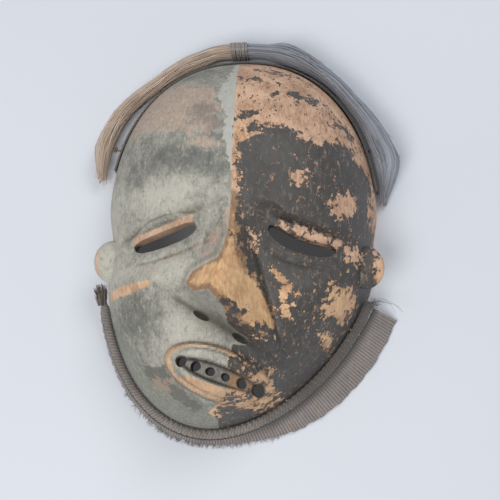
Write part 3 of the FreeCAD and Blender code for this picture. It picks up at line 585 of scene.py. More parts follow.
def chalk_colours(tree, place):
    """Chalky earth: grey-green and thin in places, whiter where it lies thick and, as painted light, at the
    pale cheek's outer edge, brushed along the face.
    """
    brushed = noise(tree, place, 1.4, 5.0, 0.72, (1.0, 0.35, 0.6), 0.7)
    mottle = noise(tree, place, 8.0, 8.0, 0.72, seed=1.1)
    specks = noise(tree, place, 1.5, 4.0, 0.75, seed=2.3)
    share = plus(tree, times(tree, brushed, 0.45), times(tree, mottle, 0.7))
    share = plus(tree, share, times(tree, attribute(tree, "chalk"), 0.45))
    colour = mixed(tree, spread(tree, share, 0.5, 1.0), shade(112, 112, 104), shade(186, 182, 170))
    crumbs = spread(tree, noise(tree, place, 2.6, 6.0, 0.8, (1.0, 0.6, 0.8), 3.7), 0.56, 0.62)
    colour = mixed(tree, times(tree, crumbs, 0.5), colour, shade(206, 203, 192))
    pits = spread(tree, noise(tree, place, 2.2, 6.0, 0.8, (1.0, 0.5, 0.8), 4.3), 0.56, 0.62)
    colour = mixed(tree, times(tree, pits, 0.5), colour, shade(84, 82, 74))
    scratches = spread(tree, noise(tree, place, 1.6, 4.0, 0.7, (0.3, 1.0, 1.0), 2.9), 0.6, 0.66)
    return mixed(tree, times(tree, scratches, 0.3), colour, shade(104, 100, 90)), brushed, specks


# %% Layers of paint
def patch(tree, place, field, wander, size, blur=0.3, seed=0.0):
    """Mask of one patch of paint, with its ragged edge."""
    values = {"Wander": wander, "Size": size, "Blur": blur, "Seed": seed}
    return use_group(tree, RAGGED_EDGE, Place=place, Field=attribute(tree, field), **values)["Mask"]


def pale_half(tree, place, wood):
    """The pale half's colour from the wood up, and what the relief needs of it."""
    chalk, brushed, specks = chalk_colours(tree, place)
    worn = times(tree, patch(tree, place, "worn_zone", 11.0, 9.0, 1.0, 0.5), 0.75)
    rubbed = mixed(tree, spread(tree, brushed, 0.35, 0.65), shade(178, 146, 127), shade(192, 177, 162))
    pale = mixed(tree, worn, chalk, rubbed)
    smudges = times(tree, patch(tree, place, "smudge", 8.0, 7.0, 5.0, 1.5), 0.5)
    pale = mixed(tree, smudges, pale, shade(92, 94, 94))
    strip = patch(tree, place, "white_strip", 4.5, 5.0, 0.4, 2.0)
    white = mixed(tree, specks, shade(170, 168, 160), shade(212, 209, 202))
    pale = mixed(tree, times(tree, strip, 0.75), pale, white)
    holes = spread(tree, noise(tree, place, 2.6, 4.0, 0.6, (1.0, 0.5, 1.0), 3.1), 0.66, 0.7)
    holes = times(tree, holes, attribute(tree, "pitted"))
    pale = mixed(tree, holes, pale, shade(66, 62, 58))
    bare = patch(tree, place, "bare_line", 1.5, 4.0, 0.7, 4.0)
    pale = mixed(tree, times(tree, bare, 0.82), pale, wood)
    jaw = times(tree, patch(tree, place, "jaw_band", 3.0, 8.0, 0.5, 4.5), 0.7)
    jaw_grey = mixed(tree, spread(tree, brushed, 0.3, 0.7), shade(108, 110, 100), shade(146, 149, 136))
    pale = mixed(tree, jaw, pale, jaw_grey)
    # Painted shadow under the nose, along its foot and beside its top.
    pale = mixed(tree, times(tree, attribute(tree, "nose_shadow"), 0.5), pale, shade(92, 86, 78))
    stained = times(tree, patch(tree, place, "jaw_patch", 4.0, 7.0, 0.8, 5.0), 0.7)
    stain_wood = patch(tree, place, "jaw_wood", 5.0, 5.0, 1.0, 5.5)
    stain = mixed(tree, stain_wood, shade(96, 92, 88), shade(164, 138, 120))
    pale = mixed(tree, stained, pale, stain)
    return pale, {"brushed": brushed, "specks": specks, "strip": strip, "holes": holes}


def dark_half(tree, place, wood):
    """The dark half's colour: wood with cuts and flecks in it, then black paint. Also its black and flecks."""
    flecks = spread(tree, noise(tree, place, 2.4, 4.0, 0.6, (1.0, 0.35, 0.7), 6.0), 0.615, 0.64)
    flecks = times(tree, flecks, attribute(tree, "flecked"))
    under = mixed(tree, flecks, wood, shade(70, 61, 55))
    nose_rim = times(tree, patch(tree, place, "nose_rim", 2.5, 5.0, 1.5, 6.5), 0.7)
    under = mixed(tree, nose_rim, under, shade(116, 90, 72))
    scuffs = spread(tree, noise(tree, place, 3.4, 7.0, 0.75, (1.0, 0.7, 1.0), 8.0), 0.585, 0.61)
    kept = maths(tree, "SUBTRACT", 1.0, times(tree, scuffs, attribute(tree, "scuffed")))
    black = times(tree, patch(tree, place, "black_paint", 8.5, 5.0, 0.35, 7.0), kept)
    uneven = noise(tree, place, 5.0, 6.0, 0.7, seed=9.0)
    colour = mixed(tree, uneven, shade(46, 43, 41), shade(92, 89, 86))
    streaks = spread(tree, noise(tree, place, 2.8, 6.0, 0.78, (1.0, 0.3, 0.8), 9.8), 0.56, 0.62)
    colour = mixed(tree, times(tree, streaks, 0.4), colour, shade(150, 136, 122))
    rub = spread(tree, noise(tree, place, 2.0, 4.0, 0.7, (0.25, 1.0, 1.0), 9.5), 0.5, 0.75)
    rub = times(tree, rub, attribute(tree, "chalk_rub"))
    colour = mixed(tree, times(tree, rub, 0.8), colour, shade(158, 154, 148))
    return mixed(tree, black, under, colour), black, flecks


# %% Painted wood
def painted_wood():
    """Both halves side by side, with painted shade in the creases and the mouth's groove, and the relief of
    every layer.
    """
    made, tree, shader, place = new_material("painted_wood", 0.8)
    wood, grain = wood_colours(tree, place)
    pale, relief = pale_half(tree, place, wood)
    dark, black, flecks = dark_half(tree, place, wood)
    side = patch(tree, place, "dark_side", 0.5, 3.0, 0.35, 10.0)
    # Painted shade: the colour darkens in the carving's creases and in the groove between the lips.
    crease_shade = times(tree, attribute(tree, "crease_shade"), 0.6)
    colour = mixed(tree, crease_shade, mixed(tree, side, pale, dark), shade(62, 57, 52))
    tree.links.new(colour, shader.inputs["Base Color"])
    black_here = times(tree, side, black)
    tree.links.new(spread(tree, black_here, 0.0, 1.0, 0.86, 0.5), shader.inputs["Roughness"])
    height = times(tree, times(tree, flecks, side), -0.6)
    parts = ((black_here, 0.5), (relief["strip"], 0.4), (relief["brushed"], 0.25), (grain, 0.2),
             (relief["specks"], 0.25), (relief["holes"], -0.8))
    for layer, share in parts:
        height = plus(tree, height, times(tree, layer, share))
    bumped(tree, shader, height, 0.5, 0.9)
    return made


def carved_hollow():
    """Unpainted inside: raw wood, darkened by handling and smoke."""
    made, tree, shader, place = new_material("carved_hollow", 0.85)
    grain = noise(tree, place, 2.4, 5.0, 0.65, (1.0, 0.1, 0.6))
    soot = noise(tree, place, 30.0, 5.0, 0.6, seed=0.9)
    wood = mixed(tree, spread(tree, grain, 0.3, 0.7), shade(132, 108, 86), shade(176, 150, 124))
    smoked = mixed(tree, spread(tree, soot, 0.35, 0.75, 0.1, 0.6), wood, shade(92, 80, 70))
    tree.links.new(smoked, shader.inputs["Base Color"])
    bumped(tree, shader, grain, 0.4, 0.7)
    return made


PAINTED_WOOD = painted_wood()
CARVED_HOLLOW = carved_hollow()
print("finishes:", PAINTED_WOOD.name, CARVED_HOLLOW.name)

# %% [markdown]
# ## The carving
#
# A net of points bent to the outline is lifted to the face's height and closed underneath. Ears are added
# and the hollow, the eye slits, the tooth gaps, the nostrils and the drilled holes are cut away, in the
# order in which the carver works. The hollow and the drilled holes carry the finish of the raw wood, so that
# their cut faces show it; the eye slits, tooth gaps and nostrils carry the paint, and every outside face keeps
# it.

# %% Blocks and cutters
OUTER_NET = (222, 296)
INNER_NET = (96, 128)


def dome_block(name, net, inset, lowering, relief, skirt, finish):
    """Closed block under a carved dome."""
    u = np.linspace(-1, 1, net[0])[:, None] + np.zeros(net[1])
    v = np.linspace(-1, 1, net[1])[None, :] + np.zeros((net[0], 1))
    a = u * np.sqrt(1 - v * v / 2)
    b = v * np.sqrt(1 - u * u / 2)
    out = np.minimum(1.0, np.hypot(a, b))
    share = 1.25 * out - 0.25 * out**5
    x, y = outline_point(np.degrees(np.arctan2(b, a)), share, inset)
    dome = (DOME_DEPTH - lowering) * np.sqrt(np.maximum(0.0, 1 - share**DOME_POWER))
    z = dome + ease(RIM_START, RELIEF_FULL, share) * relief(x, y)
    edge = np.zeros(net, bool)
    edge[[0, -1], :] = edge[:, [0, -1]] = True
    z[edge] = -skirt
    points = np.stack([x, y, z], -1).reshape(-1, 3)
    index = np.arange(net[0] * net[1]).reshape(net)
    rim = np.concatenate([index[:, 0], index[-1, 1:], index[-2::-1, -1], index[0, -2:0:-1]])
    made = made_mesh(name, points, net_faces(*net) + [rim[::-1].tolist()], finish)
    return faced_out(made)


def ball(name, middle, halves, finish, turned_by=0.0, across=28, rings=18):
    """A closed oval ball."""
    up = np.linspace(0, math.pi, rings + 1)[1:-1, None]
    turn = np.linspace(0, 2 * math.pi, across, endpoint=False)
    places = [np.sin(up) * np.cos(turn), np.sin(up) * np.sin(turn), np.cos(up) + 0 * turn]
    points = np.stack(places, -1).reshape(-1, 3) * halves
    spun_x, spun_y = turned(points[:, 0], points[:, 1], -turned_by)
    points = np.stack([spun_x, spun_y, points[:, 2]], -1)
    count = len(points)
    points = np.vstack([points, [0, 0, halves[2]], [0, 0, -halves[2]]]) + middle
    faces = tube_faces(rings - 1, across)[:-2]
    last = (rings - 2) * across
    for k in range(across):
        following = (k + 1) % across
        faces.append((count, following, k))
        faces.append((count + 1, last + k, last + following))
    return faced_out(made_mesh(name, points, faces, finish))


def prism(name, outline, start, way, length, finish):
    """Outline points in the plane across a direction, swept along it."""
    way = Vector(way).normalized()
    side = way.orthogonal().normalized() if abs(way.z) < 0.9 else Vector((1, 0, 0))
    rise = way.cross(side)
    flat = np.array([side * px + rise * py for px, py in outline])
    ends = [flat + start, flat + start + np.array(way) * length]
    return faced_out(made_mesh(name, np.vstack(ends), tube_faces(2, len(outline)), finish))


def circle(radius, corners=16, uneven=0.0, seed=0):
    """Outline of a round hole, a little uneven where it was cut by hand."""
    angles = np.linspace(0, 2 * math.pi, corners, endpoint=False)
    wobble = uneven * (np.sin(2 * angles + seed) + 0.6 * np.sin(3 * angles + 2.3 * seed))
    return np.stack([np.cos(angles), np.sin(angles)], -1) * (radius * (1 + wobble))[:, None]


# %% Cutters of the eyes, teeth, nose and holes
TOOTH_PITCH = 10.2
TOOTH_GAPS = (3.8, 3.5, 3.1, 2.8, 3.4, 4.4)
COIF_TIE_ANGLES = (150, 124, 62, 28)
COLLAR_TIE_ANGLES = (207, 232, 252, 277, 300, 330)
COIF_TIE_Z = 12.0
TIE_HOLE_RADIUS = 1.6
STRAP_HOLE_RADIUS = 2.2
STRAP_HOLE_Z = 12.0
STRAP_HOLES = ((-1, 12.0), (1, 3.0))
NOSTRIL_ASIDE = 14.5
NOSTRIL_HALVES = (6.0, 2.4, 6.0)
CHIN_ANGLE = 262.0
THROUGH = 2 * DOME_DEPTH
UP = (0, 0, 1)


def slit_outline(eye):
    """Bowed slit with rounded ends."""
    t = np.linspace(-1, 1, 25)
    rounded_end = np.sqrt(np.maximum(0.0, 1 - t**6)) * (1 - 0.35 * t * t)
    half = EYE_WIDTH / 2 * (0.5 + 0.5 * rounded_end) * (1 - 0.45 * t**12)
    sag = -eye["sag"] * (1 - t * t)
    upper = np.stack([t * EYE_LENGTH / 2, sag + half], -1)
    lower = np.stack([t * EYE_LENGTH / 2, sag - half], -1)[::-1]
    turned_x, turned_y = turned(*np.vstack([upper, lower]).T, -eye["turn"])
    return np.stack([turned_x + eye["x"], turned_y + eye["y"]], -1)


def welt_z(angle):
    """Height of the collar's welt, which climbs from under the chin to the collar's two ends."""
    angle = np.asarray(angle, float)
    share = np.where(angle < CHIN_ANGLE, (CHIN_ANGLE - angle) / 62, (angle - CHIN_ANGLE) / 78)
    return 5.4 + 12.6 * np.minimum(1.2, share) ** 1.6


def face_cutters():
    """Every cut that goes in after the hollow."""
    made = []
    for number, eye in enumerate(EYES):
        made.append(prism(f"slit_{number}", slit_outline(eye), (0, 0, 20.0), UP, THROUGH, PAINTED_WOOD))
    for number, radius in enumerate(TOOTH_GAPS):
        dx, dy = turned((number - 2.5) * TOOTH_PITCH, 0, -MOUTH["turn"])
        start = (MOUTH["x"] + dx, MOUTH["y"] + dy, 5.0)
        outline = circle(radius, 22, 0.06, number)
        made.append(prism(f"gap_{number}", outline, start, UP, THROUGH, PAINTED_WOOD))
    turn = math.degrees(math.atan2(NOSE_ACROSS[1], NOSE_ACROSS[0]))
    for sign in (-1, 1):
        x, y = NOSE_FOOT + NOSE_ACROSS * sign * NOSTRIL_ASIDE
        middle = (x, y, float(face_z(x, y)))
        made.append(ball(f"nostril_{sign + 1}", middle, NOSTRIL_HALVES, PAINTED_WOOD, turn))
    for angle in COIF_TIE_ANGLES + COLLAR_TIE_ANGLES:
        z = COIF_TIE_Z if angle < 180 else float(welt_z(angle))
        start = wall_point(float(angle), -3 * RIM_WALL, z)
        way = outwards(float(angle))
        outline = circle(TIE_HOLE_RADIUS, 12)
        made.append(prism(f"tie_hole_{angle}", outline, start, way, 5 * RIM_WALL, CARVED_HOLLOW))
    for sign, y in STRAP_HOLES:
        start = (sign * 73.0, y, STRAP_HOLE_Z)
        outline = circle(STRAP_HOLE_RADIUS, 18)
        made.append(prism(f"strap_hole_{sign + 1}", outline, start, (sign, 0, 0), 37.0, CARVED_HOLLOW))
    return joined("face_cutters", made)


EAR_HALVES = (13.0, 15.0, 7.5)
EAR_DISH_HALVES = (7.8, 9.0, 4.5)
EAR_Z = 37.0


def ears():
    """Two half-round ears, thick at the rim and dished in front."""
    made = []
    for sign, y in ((-1, -20.0), (1, -27.0)):
        angle = math.degrees(math.asin(y / HALF_HEIGHT))
        wall = wall_point(180 - angle if sign < 0 else angle, 0.0, EAR_Z)
        ear = ball(f"ear_{sign + 1}", wall, EAR_HALVES, PAINTED_WOOD, 0.0, 56, 36)
        dish_middle = wall + np.array((sign * 3.1, 0, 9.3))
        dish = ball(f"dish_{sign + 1}", dish_middle, EAR_DISH_HALVES, PAINTED_WOOD, 0.0, 40, 26)
        made.append(carve(ear, dish, "DIFFERENCE"))
    return made


def carve(block, tool, operation):
    """Adds or cuts away a tool, and keeps each face's own finish."""
    step = block.modifiers.new(operation, "BOOLEAN")
    step.object = tool
    step.operation = operation
    step.solver = "EXACT"
    step.material_mode = "TRANSFER"
    baked(block)
    bpy.data.objects.remove(tool)
    return block


# %% Carve the face
mask_face = dome_block("mask_face", OUTER_NET, 0.0, 0.0, face_relief, 0.0, PAINTED_WOOD)
for ear in ears():
    carve(mask_face, ear, "UNION")
hollow = dome_block("hollow", INNER_NET, RIM_WALL, FRONT_WALL, hollow_relief, 5.0, CARVED_HOLLOW)
carve(mask_face, hollow, "DIFFERENCE")
carve(mask_face, face_cutters(), "DIFFERENCE")
mask_face.data.set_sharp_from_angle(angle=math.radians(40))
print("carving:", len(mask_face.data.polygons), "faces,", [m.name for m in mask_face.data.materials])

# %% [markdown]
# ## The paint's patches
#
# Each patch is an outline or a few ovals on the face. What is kept on the mesh is only the
# distance inside each one, which is smooth, so the mesh can stay coarser than the paint's ragged edge.

# %% Paint fields
DARK_SIDE = [
    (0, 150), (1, 97), (1, 60), (0, 33), (0, 19), (-1, 5), (-2, -10), (-4, -20), (-8, -29), (-18, -32),
    (-26, -35), (-31, -42), (-24, -49), (-13, -50), (-7, -57), (-3, -62), (-3, -69), (5, -75), (10, -78),
    (8, -83), (0, -82), (-3, -88), (-3, -96), (-2, -101), (-4, -107), (-6, -114), (-13, -119), (-20, -124),
    (-15, -128), (-21, -150), (150, -150), (150, 150),
]
NOSE_TOP = [
    (0, 14), (4, 2), (5, -11), (6, -25), (12, -36), (20, -48), (26, -62), (28, -72), (22, -77), (14, -74),
    (6, -70), (1, -64), (-7, -56), (-13, -50), (-22, -49), (-31, -43), (-27, -34), (-18, -30), (-8, -28),
    (-4, -16), (-2, 0),
]
BLACK_AREA = [
    (4, 51), (9, 52), (16, 56), (23, 62), (32, 63), (41, 60), (47, 54), (58, 53), (69, 57), (79, 55),
    (83, 47), (89, 43), (93, 32), (91, 12), (93, 0), (150, -5), (150, -150), (-40, -150), (-8, -119),
    (-3, -97), (-3, -60), (4, 0), (4, 14), (4, 32),
]
BARE_ISLANDS = [
    [(37, 29), (48, 32), (50, 26), (43, 21), (38, 25)],
    [(63, 11), (76, 22), (82, 16), (76, 7), (66, 4)],
    [(30, -2), (39, -3), (51, -7), (68, -10), (71, -14), (62, -16), (50, -13), (35, -7)],
    [(10, -8), (14, -11), (16, -23), (12, -19)],
    [(26, -33), (31, -36), (40, -48), (36, -53), (37, -62), (33, -67), (30, -55), (31, -46)],
    [(64, -41), (69, -45), (76, -40), (79, -48), (76, -57), (69, -64), (64, -60), (58, -61), (60, -52)],
    [(57, -72), (62, -72), (61, -84), (57, -82)],
    [(71, -16), (81, -12), (86, -23), (77, -27)],
]
WHITE_STRIP = [
    (3, 150), (-3, 122), (-6, 107), (-8, 97), (-11, 88), (-9, 78), (-5, 70), (-7, 60), (-4, 49), (-2, 30),
    (3, 30),
]
WORN_ZONE = [
    (-71, 98), (-54, 108), (-29, 102), (-14, 95), (-9, 78), (-9, 64), (-14, 54), (-31, 60), (-52, 66),
    (-72, 66), (-84, 72),
]
JAW_PATCH = [
    (-66, -92), (-56, -95), (-45, -96), (-41, -103), (-34, -112), (-22, -120), (-30, -123), (-44, -113),
    (-58, -104),
]
JAW_BAND = [
    (-120, -44), (-96, -57), (-77, -74), (-70, -82), (-65, -93), (-56, -95), (-46, -96), (-40, -103),
    (-30, -112), (-20, -119), (-8, -150), (-120, -150),
]
CHEEK_CREASE = [(-90, -41), (-72, -41), (-53, -39), (-56, -43), (-72, -47), (-90, -47)]

# ovals: middle, half sizes and turn
LIP_CHIPS = [(15, -101, 5, 3, -20), (5, -118, 12, 2.6, -14), (20, -107, 2, 6)]
BLACK_LEFT = [
    (10, 71, 6, 2, 10), (46, 88, 11, 3, -12), (73, 70, 7, 3, -40), (13, 104, 6, 2), (30, 112, 7, 2, -10),
    (27, 88, 3, 2.5), (4, -96, 9, 4, -20), (17, -108, 3, 4), (-3, -116, 5, 3), (10, -112, 3, 2),
    (14, 60, 5, 2.5), (22, -73, 6, 2.5, -25), (5, -64, 7, 3, -35),
]
WORN_SPOTS = [(-20, 52, 9, 4), (-10, -13, 16, 4, 62), (-36, -22, 12, 2, 20)]
SMUDGES = [
    (-22, 38, 18, 8), (-66, 33, 9, 7), (-26, 114, 14, 5), (-12, 33, 9, 6), (-22, 74, 9, 8), (-42, 44, 14, 6),
    (-12, 62, 4, 8),
]
JAW_WOOD = [(-51, -108, 8, 5, -40), (-40, -104, 5, 3)]
# The first oval lightens the pale cheek's outer edge as painted light, where that side turns away from the
# lamps; the others mark thick chalk.
THICK_CHALK_AND_LIT_CHEEK = [(-92, -5, 14, 42), (-45, 18, 30, 14), (-45, -32, 40, 9), (-30, -75, 20, 20)]
SCRATCHED = [(38, 43, 17, 6), (68, 18, 22, 12), (60, -55, 24, 20)]
EAR_X = 97.0
BARE_EAR = (101, -29, 6.5, 13)
CREASE_SHADE_STEP = 1.6


def lid_line(x, y, eye, low, high):
    """Millimetres inside the band along an upper lid."""
    along, across = eye_place(x, y, eye)
    from_middle = np.abs(across - (low + high) / 2)
    return (high - low) / 2 - from_middle - 4.0 * ease(0.9, 1.1, np.abs(along) / (EYE_LENGTH / 2))


def lip_rim(x, y):
    """Millimetres inside the line along the lips' outer edge."""
    return 1.5 - np.abs(mouth_place(x, y)[2] - 0.97) * 20.0


def paint_patches(x, y):
    """Every patch of paint as millimetres inside it."""
    nose_top = inside(x, y, NOSE_TOP)
    islands = [inside(x, y, island) for island in BARE_ISLANDS]
    ear = np.maximum(3.0 - np.abs(x - EAR_X), blot(x, y, *BARE_EAR))
    bare = np.max(islands + [ear, blots(x, y, LIP_CHIPS)], axis=0)
    on_lips = (1.02 - mouth_place(x, y)[2]) * 16.0
    black = np.minimum(inside(x, y, BLACK_AREA), -np.max([nose_top, bare, on_lips], axis=0))
    lid = lid_line(x, y, EYES[0], 3.0, 8.6)
    pale_lines = [inside(x, y, CHEEK_CREASE), lid, lip_rim(x, y), 1.0 - np.abs(x + 99.5)]
    fields = {"dark_side": inside(x, y, DARK_SIDE)}
    fields["black_paint"] = np.maximum(black, blots(x, y, BLACK_LEFT))
    fields["worn_zone"] = np.maximum(inside(x, y, WORN_ZONE), blots(x, y, WORN_SPOTS))
    fields["white_strip"] = inside(x, y, WHITE_STRIP)
    fields["smudge"] = blots(x, y, SMUDGES)
    fields["bare_line"] = np.max(pale_lines + [blot(x, y, -17, -110, 20, 4, -20)], axis=0)
    fields["jaw_band"] = inside(x, y, JAW_BAND)
    fields["jaw_patch"] = inside(x, y, JAW_PATCH)
    fields["jaw_wood"] = blots(x, y, JAW_WOOD)
    fields["nose_rim"] = 1.6 - np.abs(nose_top) + 2.0 * ease(14.0, 2.0, x)
    return fields, nose_top, np.max(islands[:2] + islands[4:], axis=0)


def wear_and_shade_fields(x, y, fields, nose_top, near_islands):
    """How strong each kind of wear or shade is, from 0 to 1."""
    lips, groove = mouth_place(x, y)[2:]
    down, aside = nose_place(x, y)
    # Painted shadow: the slope under the nose, a dark line at its foot and a band beside its top.
    below = 0.6 * ease(0.98, 1.03, down) * ease(1.32, 1.2, down) * ease(1.25, 0.95, np.abs(aside))
    below = below + 0.9 * bell(down, 1.165, 0.022) * ease(1.3, 1.05, np.abs(aside))
    rim = 0.8 * ease(0.0, -2.0, nose_top) * ease(-6.0, -2.0, nose_top) * ease(0.2, 0.5, down)
    fields["nose_shadow"] = np.maximum(below, rim)
    # Thick chalk, and painted light on the pale cheek's outer edge.
    thick = sum(hill(x, y, *oval) for oval in THICK_CHALK_AND_LIT_CHEEK)
    thin = hill(x, y, -66, -62, 20, 16) + 0.7 * hill(x, y, -40, 40, 30, 10)
    fields["chalk"] = np.clip(0.35 + 0.5 * thick - 0.45 * thin, 0.0, 1.0)
    fields["pitted"] = ease(-6.0, 0.0, fields["white_strip"]) * ease(40.0, 60.0, y) * 0.9
    off_black = ease(0.0, 4.0, -fields["black_paint"])
    fields["flecked"] = off_black * ease(0.0, 3.0, -nose_top) * ease(20.0, 45.0, y)
    scratches = 0.7 * sum(hill(x, y, *oval) for oval in SCRATCHED)
    scuffs = 0.65 * ease(-14.0, -1.0, near_islands) + scratches + 0.5 * ease(1.05, 0.9, lips)
    fields["scuffed"] = np.clip(0.5 + scuffs, 0.0, 1.0)
    crease = bell(y + 0.12 * (x - 20), 5.5, 1.6) * ease(4.0, 9.0, x) * ease(44.0, 34.0, x)
    under_lid = bell(eye_place(x, y, EYES[1])[1], -12.5, 2.0) * ease(30.0, 22.0, np.abs(x - 45))
    fields["chalk_rub"] = np.clip(crease + 0.45 * under_lid, 0.0, 1.0)
    warm = ease(-6.0, 3.0, nose_top) + 0.5 * hill(x, y, 5, 48, 14, 30) + 0.6 * ease(-18.0, -32.0, y)
    fields["warm"] = np.clip(warm, 0.0, 1.0)
    # Painted shade for the creases and the teeth's groove: darker where the face curves inwards.
    beside = ((CREASE_SHADE_STEP, 0), (-CREASE_SHADE_STEP, 0), (0, CREASE_SHADE_STEP), (0, -CREASE_SHADE_STEP))
    rise = sum(face_z(x + step_x, y + step_y) for step_x, step_y in beside) - 4 * face_z(x, y)
    shaded_creases = np.where(share_at(x, y) < 0.93, np.clip(rise * 0.35, 0.0, 1.0), 0.0)
    fields["crease_shade"] = shaded_creases + 0.75 * ease(1.06, 0.9, groove)
    return fields


def paint(made):
    """Keeps every field on the mesh."""
    points = np.zeros(len(made.data.vertices) * 3)
    made.data.vertices.foreach_get("co", points)
    x, y = points.reshape(-1, 3).T[:2] / MM
    fields = wear_and_shade_fields(x, y, *paint_patches(x, y))
    for name, values in fields.items():
        set_attribute(made.data, name, values)
    return fields


painted = paint(mask_face)
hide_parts("face_shell")
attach(mask_face, "root")
print("paint fields:", ", ".join(painted))

# %% [markdown]
# ## Strands
#
# Combed fibre, frayed cloth and wound cord are all strands: a line with a thickness. Blender's hair would
# draw them, but the exporter needs faces. So each line is an edge chain, and one Geometry Nodes tree turns
# every chain into a thin closed tube, shakes it a little, and gives it its finish.

# %% Strand tree
def strand_tree():
    tree = bpy.data.node_groups.new("spun_strands", "GeometryNodeTree")
    sockets = tree.interface
    sockets.new_socket("Lines", in_out="INPUT", socket_type="NodeSocketGeometry")
    for name, value in (("Strand Radius", 0.3), ("Frizz", 0.3), ("Frizz Size", 8.0), ("Seed", 1.0)):
        sockets.new_socket(name, in_out="INPUT", socket_type="NodeSocketFloat").default_value = value
    sockets.new_socket("Sides", in_out="INPUT", socket_type="NodeSocketInt").default_value = 3
    sockets.new_socket("Finish", in_out="INPUT", socket_type="NodeSocketMaterial")
    sockets.new_socket("Strands", in_out="OUTPUT", socket_type="NodeSocketGeometry")
    given = tree.nodes.new("NodeGroupInput").outputs
    result = tree.nodes.new("NodeGroupOutput").inputs
    curves = add(tree, "GeometryNodeMeshToCurve", {"Mesh": given["Lines"]}).outputs[0]
    per_metre = maths(tree, "DIVIDE", 1000.0, given["Frizz Size"])
    inputs = {"W": given["Seed"], "Scale": per_metre, "Detail": 2.0}
    shake = add(tree, "ShaderNodeTexNoise", inputs, noise_dimensions="4D").outputs["Color"]
    half = {0: shake, 1: (0.5, 0.5, 0.5)}
    centred = add(tree, "ShaderNodeVectorMath", half, operation="SUBTRACT").outputs[0]
    loose = add(tree, "GeometryNodeInputNamedAttribute", {"Name": "loose"}).outputs["Attribute"]
    reach = times(tree, times(tree, given["Frizz"], 2 * MM), loose)
    offset = add(tree, "ShaderNodeVectorMath", {0: centred, "Scale": reach}, operation="SCALE").outputs[0]
    shaken = add(tree, "GeometryNodeSetPosition", {"Geometry": curves, "Offset": offset}).outputs[0]
    radius = times(tree, given["Strand Radius"], MM)
    inputs = {"Resolution": given["Sides"], "Radius": radius}
    profile = add(tree, "GeometryNodeCurvePrimitiveCircle", inputs).outputs[0]
    thickness = add(tree, "GeometryNodeInputNamedAttribute", {"Name": "thickness"}).outputs["Attribute"]
    inputs = {"Curve": shaken, "Profile Curve": profile, "Scale": thickness, "Fill Caps": True}
    tubes = add(tree, "GeometryNodeCurveToMesh", inputs).outputs[0]
    smooth = add(tree, "GeometryNodeSetShadeSmooth", {"Geometry": tubes}).outputs[0]
    real = add(tree, "GeometryNodeRealizeInstances", {"Geometry": smooth}).outputs[0]
    inputs = {"Geometry": real, "Material": given["Finish"]}
    tree.links.new(add(tree, "GeometryNodeSetMaterial", inputs).outputs[0], result["Strands"])
    return tree


SPUN_STRANDS = strand_tree()


def strands(name, lines, finish, radius, frizz=0.0, frizz_size=8.0, seed=1.0, sides=3,
            thickness=None, strand=None, tip=None, loose=None):
    """Tubes along lines: an array of lines by points by 3, in millimetres."""
    lines = np.asarray(lines, float)
    count, steps = lines.shape[:2]
    mesh = bpy.data.meshes.new(name)
    index = np.arange(count * steps).reshape(count, steps)
    edges = np.stack([index[:, :-1], index[:, 1:]], -1).reshape(-1, 2)
    mesh.from_pydata((lines.reshape(-1, 3) * MM).tolist(), edges.tolist(), [])
    kept = (("thickness", thickness, 1.0), ("strand", strand, 0.5), ("tip", tip, 0.0), ("loose", loose, 1.0))
    for key, values, usual in kept:
        set_attribute(mesh, key, np.broadcast_to(usual if values is None else values, (count, steps)))
    made = bpy.data.objects.new(name, mesh)
    bpy.context.scene.collection.objects.link(made)
    spin = made.modifiers.new("strands", "NODES")
    spin.node_group = SPUN_STRANDS
    values = {"Strand Radius": radius, "Frizz": frizz, "Frizz Size": frizz_size, "Seed": seed, "Sides": sides,
              "Finish": finish}
    for socket in SPUN_STRANDS.interface.items_tree:
        if socket.in_out == "INPUT" and socket.name in values:
            spin[socket.identifier] = values[socket.name]
    return baked(made)


# %% [markdown]
# ## Fibre and cloth finishes
#
# Raffia and bast are dull, a little silky along the strand, and no two strands are the same shade. The
# undyed half is straw brown, the dyed half a faded slate black. The cloth is brown-grey with golden
# threads on the crests of its ribs, where the gold is also a painted highlight.

# %% Fibre materials
def fibre_material(name, dark, light, tip, rough=0.75):
    made, tree, shader, place = new_material(name, rough, sheen=0.25)
    colours = use_group(tree, FIBRE_SHADES, Place=place, Dark=dark, Light=light, Tip=tip)
    dust = use_group(tree, SETTLED_DUST, Place=place, Amount=0.3)["Mask"]
    tree.links.new(mixed(tree, dust, colours["Color"], shade(176, 168, 160)), shader.inputs["Base Color"])
    bumped(tree, shader, colours["Height"], 0.12, 0.6)
    return made


NATURAL_FIBRE = fibre_material(
    "natural_fibre", shade(176, 152, 132), shade(226, 206, 188), shade(208, 184, 162))
DYED_FIBRE = fibre_material("dyed_fibre", shade(144, 148, 159), shade(173, 179, 190), shade(158, 162, 170))
BINDING_CORD = fibre_material("binding_cord", shade(112, 106, 102), shade(172, 166, 162), shade(160, 150, 140))
TIE_THREAD = fibre_material("tie_thread", shade(96, 80, 66), shade(160, 140, 118), shade(150, 130, 110))
FRAYED_THREAD = fibre_material("frayed_thread", shade(70, 65, 63), shade(122, 112, 107), shade(132, 118, 106))
GOLDEN_THREAD = fibre_material("golden_thread", shade(112, 94, 80), shade(176, 152, 128), shade(150, 130, 110))


